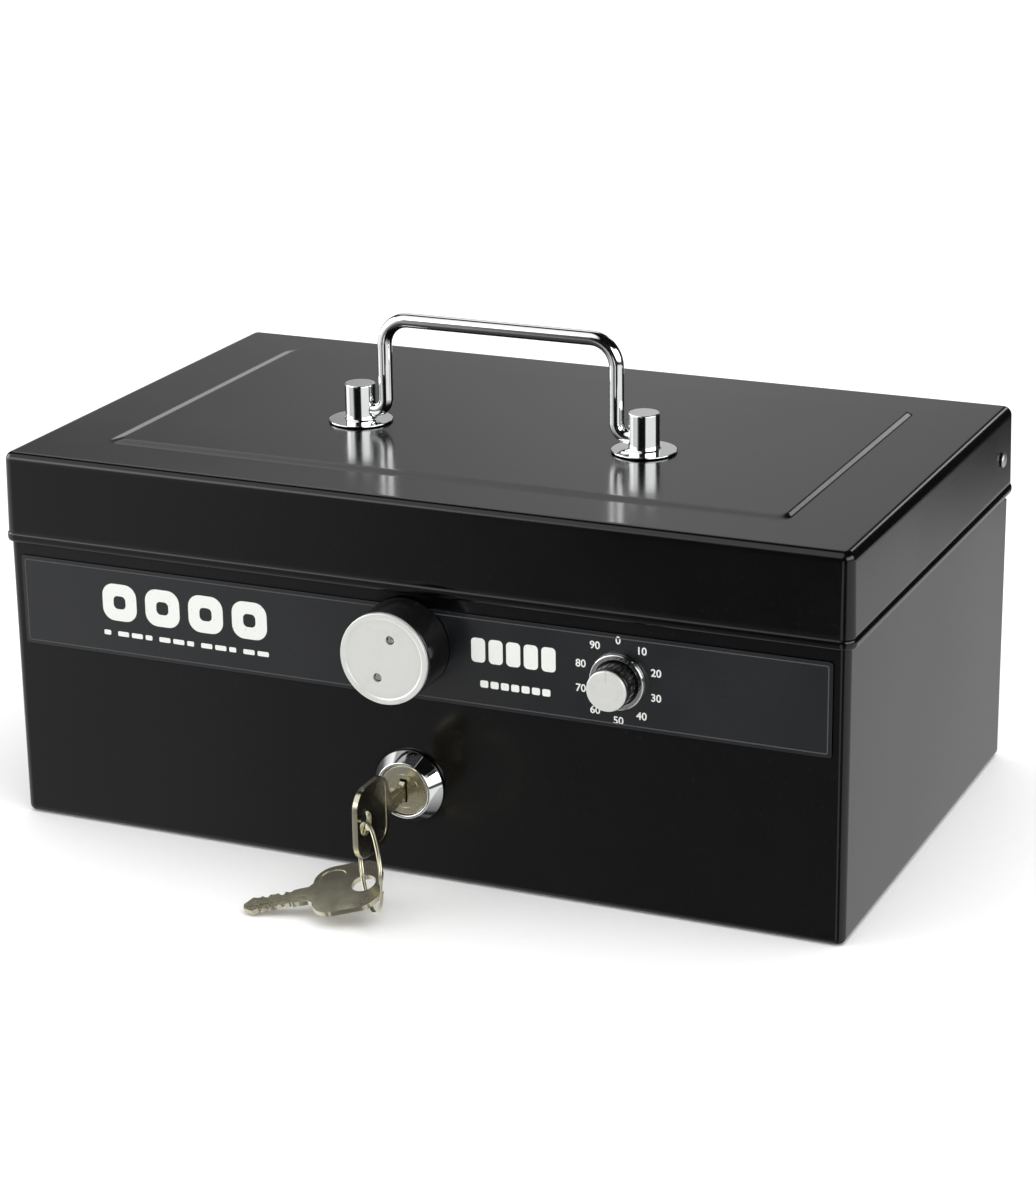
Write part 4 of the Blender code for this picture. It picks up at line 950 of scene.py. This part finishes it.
def make_latch_knob():
    axis = (0, 0, LATCH.z)
    rim = [(KNOB_FRONT, KNOB_RADIUS), (KNOB_BACK, KNOB_RADIUS)]
    knob = round_solid(rim, KNOB_ROUNDING, axis, FINE_TURN_STEPS, edge_steps=6)
    tools = [rod(SPINDLE_RADIUS + GAP, KNOB_FRONT + KNOB_SOCKET, KNOB_BACK + MM, axis)]
    for node in KNOB_SCREWS:
        start = KNOB_FRONT - 2 * MM
        end = KNOB_FRONT + 5 * MM
        tools.append(rod(SCREW_SHANK_HOLE, start, end, axis_of(node), TINY_TURN_STEPS))
    detailed("latch_knob", carved(knob, tools), "gloss_plastic")

    front = FACE_FRONT
    face = [(front + FACE_SUNK, FACE_RADIUS - FACE_RIM_FOOT), (front, FACE_RADIUS - FACE_RIM)]
    face += [(front, FACE_RADIUS), (FACE_BACK, FACE_RADIUS)]
    disc = round_solid(face, FACE_ROUNDING, axis, FINE_TURN_STEPS)
    tools = []
    for node in KNOB_SCREWS:
        tools.append(rod(SCREW_HEAD_HOLE, front - MM, front + 3 * MM, axis_of(node), SCREW_STEPS))
    detailed("latch_knob_face", carved(disc, tools))


def make_knob_screws():
    """Screws with a slotted head, sunk in the knob's face."""
    for node in KNOB_SCREWS:
        front, back, head = round_extent(node)
        shoulder = FACE_BACK + GAP * 0.9
        profile = [(front, head), (shoulder, head), (shoulder, SCREW_SHANK), (back, SCREW_SHANK)]
        screw = round_solid(profile, SCREW_ROUNDING, axis_of(node), SCREW_STEPS, edge_steps=4)
        x, _, z = axis_of(node)
        slot_low = (x - head * 1.2, front - MM, z - SLOT_HALF)
        slot_high = (x + head * 1.2, front + SLOT_DEPTH, z + SLOT_HALF)
        detailed(node, carved(screw, [block(slot_low, slot_high)]))


def make_dial():
    axis = (DIAL.x, 0, DIAL.z)
    rim = [(DIAL_FRONT, DIAL_RADIUS), (DIAL_BACK, DIAL_RADIUS)]
    tools = [rod(DIAL_SPINDLE + GAP, DIAL_FRONT + DIAL_SOCKET, DIAL_BACK + MM, axis)]
    for index in range(FLUTE_COUNT):
        angle = 2 * pi * (index + 0.5) / FLUTE_COUNT
        x, z = on_circle(DIAL, DIAL_RADIUS + FLUTE_OUT, angle)
        tools.append(rod(FLUTE_RADIUS, DIAL_FRONT + FLUTE_START, DIAL_BACK + MM, (x, 0, z), 12))
    knob = carved(round_solid(rim, DIAL_ROUNDING, axis), tools)
    detailed("dial_knob", knob, "gloss_plastic")

    front = DIAL_FACE_FRONT
    face = [(front, DIAL_FACE_RADIUS), (DIAL_FACE_BACK, DIAL_FACE_RADIUS)]
    disc = round_solid(face, DIAL_FACE_ROUNDING, axis, edge_steps=6)
    end = DIAL_FACE_RADIUS + MM
    pointer = rounded_outline(-POINTER_HALF, POINTER_HALF, POINTER_START, end, 0.25 * MM, 4)
    pointer = front_plate(pointer, front - MM, front + 0.3 * MM, axis)
    detailed("dial_face", carved(disc, [pointer]), "dial_metal")

    skirt = [(SKIRT_FRONT, SKIRT_INNER), (SKIRT_FRONT, SKIRT_RADIUS - SKIRT_SLOPE)]
    skirt += [(SKIRT_BACK, SKIRT_RADIUS), (SKIRT_BACK, SKIRT_INNER)]
    detailed("dial_skirt", turned(filleted(skirt, SKIRT_ROUNDING, steps=6), axis, hollow=True))


# ======== key lock and keys

BEZEL_FRONT, BEZEL_BACK, BEZEL_RADIUS = round_extent("lock_bezel")
PLUG_FRONT, PLUG_BACK, PLUG_HEAD = round_extent("lock_plug")
PLUG_BODY = 6 * MM
PLUG_BOSS = 4 * MM
PLUG_STEP = PLUG_FRONT + 3 * MM
BEZEL_RIM = 9.6 * MM
KEYWAY_END = -82 * MM
KEYWAY_HALF_WIDTH = 1.25 * MM
KEYWAY_HALF_HEIGHT = 4 * MM
BEZEL_LIP = 1.2 * MM
BEZEL_ROUNDING = 0.35 * MM
PLUG_ROUNDING = 0.3 * MM
PLUG_SCREW = 1.5 * MM
PLUG_THREAD = 6 * MM
GROOVE_INNER = 5.4 * MM
GROOVE_OUTER = 6.1 * MM
GROOVE_DEPTH = 0.25 * MM


def make_lock():
    place = (LOCK.x, 0, LOCK.z)
    back = FRONT_OUTER - GAP
    profile = [(BEZEL_FRONT, PLUG_HEAD + GAP), (BEZEL_FRONT, BEZEL_RIM)]
    profile += [(back - BEZEL_LIP, BEZEL_RADIUS), (back, BEZEL_RADIUS), (back, BARREL_RADIUS)]
    profile += [(BEZEL_BACK, BARREL_RADIUS), (BEZEL_BACK, PLUG_BODY + GAP)]
    profile += [(PLUG_STEP + GAP, PLUG_BODY + GAP), (PLUG_STEP + GAP, PLUG_HEAD + GAP)]
    profile = filleted(profile, BEZEL_ROUNDING, steps=5)
    detailed("lock_bezel", turned(profile, place, hollow=True, steps=FINE_TURN_STEPS))

    core_end = BEZEL_BACK + GAP
    profile = [(PLUG_FRONT, PLUG_HEAD), (PLUG_STEP, PLUG_HEAD), (PLUG_STEP, PLUG_BODY)]
    profile += [(core_end, PLUG_BODY), (core_end, PLUG_BOSS), (PLUG_BACK, PLUG_BOSS)]
    plug = round_solid(profile, PLUG_ROUNDING, place, edge_steps=4)
    low = (-KEYWAY_HALF_WIDTH, PLUG_FRONT - MM, LOCK.z - KEYWAY_HALF_HEIGHT)
    high = (KEYWAY_HALF_WIDTH, KEYWAY_END, LOCK.z + KEYWAY_HALF_HEIGHT)
    end = PLUG_BACK + MM
    thread = rod(PLUG_SCREW + GAP, PLUG_BACK - PLUG_THREAD, end, place, TINY_TURN_STEPS)
    floor = PLUG_FRONT + GROOVE_DEPTH
    before = PLUG_FRONT - MM
    groove = [(before, GROOVE_INNER), (floor, GROOVE_INNER), (floor, GROOVE_OUTER)]
    groove.append((before, GROOVE_OUTER))
    tools = [block(low, high), thread, turned(groove, place, hollow=True)]
    detailed("lock_plug", carved(plug, tools))


BOW_HOLE_Y = -124 * MM
BOW_HOLE = 4 * MM
BOW_NEAR = 17 * MM
BOW_FAR = -6 * MM
BOW_HALF = 12 * MM
BOW_CORNER = 7 * MM
BOW_RIM = 2 * MM
BOW_RELIEF = 0.22 * MM
KEY_HALF = (KEY_HIGH.x - KEY_LOW.x) / 2
BLADE_END = 40 * MM
BLADE_HALF = 3.6 * MM
KEY_GROOVE = 1.1 * MM
KEY_GROOVE_HALF = 0.3 * MM
CUT_PITCH = 2.6 * MM
CUT_DEPTHS = (0.9, 1.6, 0.5, 1.3, 0.7)
SPARE_AZIMUTH = -70
SPARE_DIP = 12.5
SPARE_ROLL = -14


def bitting(side):
    """Notched edge of the blade, from the tip back to the shoulder on the + side."""
    points = [(BLADE_END, side * MM), (BLADE_END - 3 * MM, side * BLADE_HALF)]
    for index, depth in enumerate(CUT_DEPTHS[::side]):
        near = BLADE_END - 4.2 * MM - index * CUT_PITCH
        floor = side * (BLADE_HALF - depth * MM)
        points += [(near - 0.5 * MM, floor), (near - 1.3 * MM, floor)]
        points.append((near - 1.9 * MM, side * (BLADE_HALF - 0.2 * MM)))
    return points + [(BOW_NEAR + reach * MM, side * BLADE_HALF) for reach in (4.2, 1.5)]


def key_mesh():
    """Key in the YZ plane, blade towards +Y, measured from the hole in its bow."""
    bow = rounded_outline(BOW_FAR, BOW_NEAR, -BOW_HALF, BOW_HALF, BOW_CORNER, steps=12)
    quarter = len(bow) // 4
    outline = bow[:quarter] + list(reversed(bitting(-1))) + bitting(1) + bow[quarter:]
    plate = side_plate(outline, -KEY_HALF, KEY_HALF)
    tools = [crosswise(rod(BOW_HOLE, -3 * MM, 3 * MM))]
    half = BOW_HALF - BOW_RIM
    panel = rounded_outline(BOW_HOLE + 2 * MM, BOW_NEAR - BOW_RIM, -half, half, 4 * MM, 8)
    for side in (-1, 1):
        face = side * KEY_HALF
        tools.append(side_plate(panel, face - side * BOW_RELIEF, 2 * face))
        middle = side * KEY_GROOVE
        start = (face * 0.55, BOW_NEAR + 2 * MM, middle - KEY_GROOVE_HALF)
        tools.append(block(start, (2 * face, BLADE_END + MM, middle + KEY_GROOVE_HALF)))
    return soften(carved(plate, tools), 0.16 * MM, above=35, segments=2)


def direction_of(azimuth, elevation):
    """Unit vector; azimuth 0 is the front, positive towards +X, in degrees."""
    a = radians(azimuth)
    e = radians(elevation)
    return Vector((sin(a) * cos(e), -cos(a) * cos(e), sin(e)))


def rolled(first, second, angle):
    """First vector turned towards the second by an angle in degrees."""
    return first * cos(radians(angle)) + second * sin(radians(angle))


def spare_matrix():
    """Place of the spare key, which hangs from the ring with its blade down to the left."""
    blade = direction_of(SPARE_AZIMUTH, -SPARE_DIP)
    level = direction_of(SPARE_AZIMUTH + 90, 0)
    across = rolled(level, blade.cross(level), SPARE_ROLL)
    turn = Matrix((blade.cross(across), blade, across)).transposed()
    return Matrix.Translation(SPARE_HOLE) @ turn.to_4x4()


def make_keys():
    place = Matrix.Translation((0, BOW_HOLE_Y, LOCK.z))
    detailed("key", moved(key_mesh(), place))
    detailed("spare_key", moved(key_mesh(), spare_matrix()))


RING_RADIUS = (RING_HIGH.z - RING_LOW.z) / 2
RING_COIL = 0.36 * MM
RING_TORUS = 0.75 * MM


def make_ring():
    """Split ring: one wire wound twice round, its coils side by side."""
    tangent = JOINT_AXIS["spare_swing"]
    heading = -Vector((tangent.x, tangent.y, 0)).normalized()
    normal = heading.cross(Vector((0, 0, 1)))
    centre = (RING_LOW + RING_HIGH) / 2
    radius = RING_RADIUS - RING_TORUS
    path = []
    steps = 240
    for step in range(steps + 1):
        share = step / steps
        angle = radians(100) + 4 * pi * share * 0.985
        shift = max(-1.0, min(1.0, (share - 0.5) * 14)) * RING_COIL
        point = centre + (heading * sin(angle) + Vector((0, 0, cos(angle)))) * radius
        path.append(point + normal * shift)
    detailed("key_ring", soften(wire(path, RING_COIL, normal, steps=16), 0.08 * MM, 60))


# ======== tray and ledges

TRAY_WALL = 1.6 * MM
TRAY_CORNER = 5 * MM
TRAY_LIP = 2 * MM
TRAY_BELOW_LIP = 1.5 * MM
TRAY_FOOT = 3 * MM
TRAY_ROUNDING = 0.35 * MM
NOTE_CORNER = 3 * MM
CUP_COUNT = 5
CUP_BACK = -4 * MM
CUP_RADIUS = 25 * MM
NOTE_COUNT = 3


def tray_ring(inset, height):
    low = TRAY_LOW.xy + Vector((inset, inset))
    high = TRAY_HIGH.xy - Vector((inset, inset))
    return rounded_outline(low.x, high.x, low.y, high.y, TRAY_CORNER - inset), height


def cup_tool(left, right):
    """Trough with a round bottom running front to back."""
    middle = (left + right) / 2
    half = min(right - middle, CUP_RADIUS)
    centre_z = TRAY_LOW.z + TRAY_WALL + CUP_RADIUS
    spread = degrees(acos(half / CUP_RADIUS))
    outline = arc((middle, centre_z), CUP_RADIUS, 180 + spread, 360 - spread, 40)
    above = TRAY_HIGH.z + 2 * MM
    outline += [(middle + half, above), (middle - half, above)]
    return front_plate(outline, TRAY_LOW.y + 3 * TRAY_WALL, CUP_BACK)


def bays(count):
    """Left and right ends of equal bays inside the tray."""
    inner = TRAY_HIGH.x - 3 * TRAY_WALL
    pitch = (2 * inner + TRAY_WALL) / count
    starts = [-inner + index * pitch for index in range(count)]
    return [(left, left + pitch - TRAY_WALL) for left in starts]


def make_tray():
    lip = TRAY_HIGH.z - TRAY_LIP
    steps = [(TRAY_FOOT + MM, TRAY_LOW.z), (TRAY_FOOT, TRAY_LOW.z + MM)]
    steps += [(TRAY_BELOW_LIP, lip - 0.5 * MM), (0, lip), (0, TRAY_HIGH.z)]
    tray = loft([tray_ring(inset, height) for inset, height in steps])
    tools = [cup_tool(left, right) for left, right in bays(CUP_COUNT)]
    floor = TRAY_LOW.z + TRAY_WALL
    front = CUP_BACK + TRAY_WALL
    back = TRAY_HIGH.y - 3 * TRAY_WALL
    for left, right in bays(NOTE_COUNT):
        outline = rounded_outline(left, right, front, back, NOTE_CORNER)
        tools.append(loft([(outline, floor), (outline, TRAY_HIGH.z + 2 * MM)]))
    detailed("coin_tray", soften(carved(tray, tools), TRAY_ROUNDING, above=35))


# ======== inner pieces


# Rounding in millimetres of the pieces behind the front wall and under the lid
SOFTENED = {
    0.15: ("fence_guide_upper", "fence_guide_lower", "latch_clip", "dial_clip"),
    0.20: (
        "lid_striker", "mechanism_cover", "cover_stud_left", "cover_stud_right",
        "cover_screw_left", "cover_screw_right", "fence_bar", "latch_spindle", "latch_hook",
        "dial_spindle", "dial_wheel", "lock_cam", "cam_screw",
    ),
    0.25: ("tray_ledge_left", "tray_ledge_right"),
    0.30: ("post_nut_left", "post_nut_right", "lock_nut"),
}


def make_inner_pieces():
    """Inner pieces keep their CAD shape, with softened edges."""
    for width, nodes in SOFTENED.items():
        for node in nodes:
            detailed(node, soften(cad_copy(node), width * MM, above=35, segments=2))


# ======== stage

CAMERA_AZIMUTH = 24.05
CAMERA_ELEVATION = 18.93
CAMERA_ROLL = -0.79
CAMERA_DISTANCE = 1136.99 * MM
CAMERA_SIDE = -1.3 * MM
CAMERA_RISE = 64.24 * MM
CAMERA_LENS = 96.22
FLOOR_HALF = 6.0
FLOOR_DROP = 0.05 * MM


def make_camera():
    """Camera at the photograph's viewing angle."""
    back = direction_of(CAMERA_AZIMUTH, CAMERA_ELEVATION)
    level = Vector((0, 0, 1)).cross(back).normalized()
    steep = back.cross(level)
    right = rolled(level, steep, CAMERA_ROLL)
    up = rolled(steep, -level, CAMERA_ROLL)
    camera = bpy.data.cameras.new("camera")
    camera.lens = CAMERA_LENS
    camera.clip_start = 0.05
    camera.clip_end = 50
    holder = add_object("camera", camera)
    turn = Matrix((right, up, back)).transposed().to_4x4()
    place = right * CAMERA_SIDE + up * CAMERA_RISE + back * CAMERA_DISTANCE
    holder.matrix_world = Matrix.Translation(place) @ turn
    bpy.context.scene.camera = holder


def make_floor():
    """Plain pale floor just under the box; shiny surfaces see the studio instead of it."""
    corners = [(-FLOOR_HALF, -FLOOR_HALF), (FLOOR_HALF, -FLOOR_HALF)]
    corners += [(FLOOR_HALF, FLOOR_HALF), (-FLOOR_HALF, FLOOR_HALF)]
    sheet = bmesh.new()
    sheet.faces.new([sheet.verts.new((x, y, -FLOOR_DROP)) for x, y in corners])
    floor = solid_object("floor", sheet)
    f = Finish("floor")
    paper = f.noise(f.place(), 300, 2)
    base = f.colour(paper, (0.94, 0.94, 0.94), (0.97, 0.97, 0.97))
    floor.data.materials.append(f.set(base=base, roughness=0.9, specular=0.0))
    floor.visible_glossy = False


EVEN_LIGHT = 1.22

# Studio round the object as shiny surfaces see it: (azimuth, value), 0 at the front,
# positive towards +X, in degrees
TABLE_GLOW = (
    (-180, 0.78), (-90, 1.0), (-52, 0.95), (-38, 0.68), (-33, 0.54), (-28, 0.34), (-25, 0.2),
    (-18, 0.14), (-13, 0.14), (-8, 0.8), (5, 0.85), (11, 0.1), (34, 0.1), (42, 0.8),
    (95, 0.85), (140, 0.62), (180, 0.7),
)
WALL_GLOW = (
    (-180, 0.03), (-170, 0.06), (-166, 0.44), (-158, 0.54), (-150, 0.3), (-145, 0.17),
    (-138, 0.1), (-110, 0.08), (-95, 0.3), (-60, 0.95), (-34, 0.8), (-28, 0.44), (-25, 0.22),
    (-22, 0.06), (-18, 0.0), (60, 0.03), (100, 0.08), (156, 0.01), (180, 0.03),
)
# Sine of the elevation where the table ends, and where the wall has faded out
TABLE_EDGE = (
    (-180, 0.0), (-45, 0.0), (-34, -0.12), (-28, -0.22), (-24, -0.3), (-13, -0.3),
    (-8, -0.12), (5, -0.12), (11, -0.3), (34, -0.3), (42, -0.12), (95, -0.1), (140, -0.24),
    (158, -0.28), (172, -0.28), (177, -0.1), (180, 0.0),
)
WALL_TOP = (
    (-180, 0.8), (-150, 0.85), (-132, 0.75), (-110, 0.5), (0, 0.45), (150, 0.45), (180, 0.8),
)
TABLE_EDGE_BLUR = 0.02
WALL_TOP_BLUR = 0.10
CEILING_GLOW = 0.004
# azimuth, elevation, full within, nothing beyond (degrees), brightness
STUDIO_LIGHTS = (
    (-84, 19, 15, 24, 4.5),
    (-54, 17, 12, 19, 2.6),
    (97, 18, 12, 20, 3.5),
    (72, 18, 12, 20, 3.5),
    (48, 18, 12, 20, 3.5),
    (-48, 42, 26, 38, 1.1),
    (-38, 24, 5, 17, 3.4),
    (176, 22, 2.5, 6, 2.4),
    (-150, 40, 12, 20, 0.95),
    (-147, 2, 6, 11, 0.8),
)


def around(w, azimuth, stops):
    """Brightness that changes with azimuth, through (degrees, brightness) stops."""
    ramp = w.add("ValToRGB", {0: w.remap(azimuth, -pi, pi, curve="LINEAR")})
    elements = ramp.color_ramp.elements
    while len(elements) < len(stops):
        elements.new(0.5)
    for element, (bearing, brightness) in zip(elements, stops):
        element.position = (bearing + 180) / 360
        element.color = (brightness, brightness, brightness, 1)
    return ramp.outputs[0]


def signed_around(w, azimuth, stops):
    """As around, for values between -1 and 1."""
    raised = [(bearing, (value + 1) / 2) for bearing, value in stops]
    return w.math("SUBTRACT", w.times(around(w, azimuth, raised), 2.0), 1.0)


def make_world():
    """White for the camera, even light for matt surfaces, a studio for shiny ones."""
    world = bpy.data.worlds.new("studio")
    world.use_nodes = True
    bpy.context.scene.world = world
    w = Nodes(world.node_tree)
    w.tree.nodes.clear()
    direction = w.add("TexCoord").outputs["Generated"]
    split = w.add("SeparateXYZ", {0: direction})
    height = split.outputs["Z"]
    azimuth = w.math("ARCTAN2", split.outputs["X"], w.times(split.outputs["Y"], -1.0))
    above_table = w.math("SUBTRACT", height, signed_around(w, azimuth, TABLE_EDGE))
    below_top = w.math("SUBTRACT", signed_around(w, azimuth, WALL_TOP), height)
    blur = TABLE_EDGE_BLUR
    table = w.times(w.remap(above_table, blur, -blur), around(w, azimuth, TABLE_GLOW))
    band = w.times(w.remap(above_table, -blur, blur), w.remap(below_top, 0.0, WALL_TOP_BLUR))
    glow = w.math("ADD", table, w.times(band, around(w, azimuth, WALL_GLOW)))
    for turn, rise, full, none, strength in STUDIO_LIGHTS:
        facing = w.vector("DOT_PRODUCT", direction, tuple(direction_of(turn, rise)))
        limits = cos(radians(none)), cos(radians(full))
        glow = w.math("MAXIMUM", glow, w.remap(facing, *limits, 0.0, strength))
    glow = w.math("ADD", glow, CEILING_GLOW)
    rays = w.add("LightPath").outputs
    even = w.math("SUBTRACT", 1.0, rays["Is Glossy Ray"])
    shiny = w.times(rays["Is Glossy Ray"], glow)
    light = w.math("ADD", w.times(even, EVEN_LIGHT), shiny)
    light = w.math("MAXIMUM", light, rays["Is Camera Ray"])
    background = w.add("Background", {"Color": (1, 1, 1, 1), "Strength": light})
    w.add("OutputWorld", {"Surface": background.outputs[0]})


def make_lights():
    """Large soft boxes for shape and a soft shadow; shiny surfaces don't see them."""
    boxes = (
        ("key_light", (0.7, -0.2, 1.5), 1.2, 6),
        ("fill_light", (-1.2, -0.9, 0.9), 1.0, 3),
    )
    for name, place, size, power in boxes:
        light = bpy.data.lights.new(name, "AREA")
        light.size = size
        light.energy = power
        holder = add_object(name, light)
        holder.location = place
        holder.rotation_mode = "QUATERNION"
        holder.rotation_quaternion = (-Vector(place)).to_track_quat("-Z", "Y")
        holder.visible_glossy = False


make_lid()
make_body()
make_hinge_rivets()
make_label()
make_print()
make_handle()
make_posts()
make_latch_knob()
make_knob_screws()
make_dial()
make_lock()
make_keys()
make_ring()
make_tray()
make_inner_pieces()
make_floor()
make_world()
make_lights()
make_camera()
bpy.context.scene.view_settings.view_transform = "Standard"
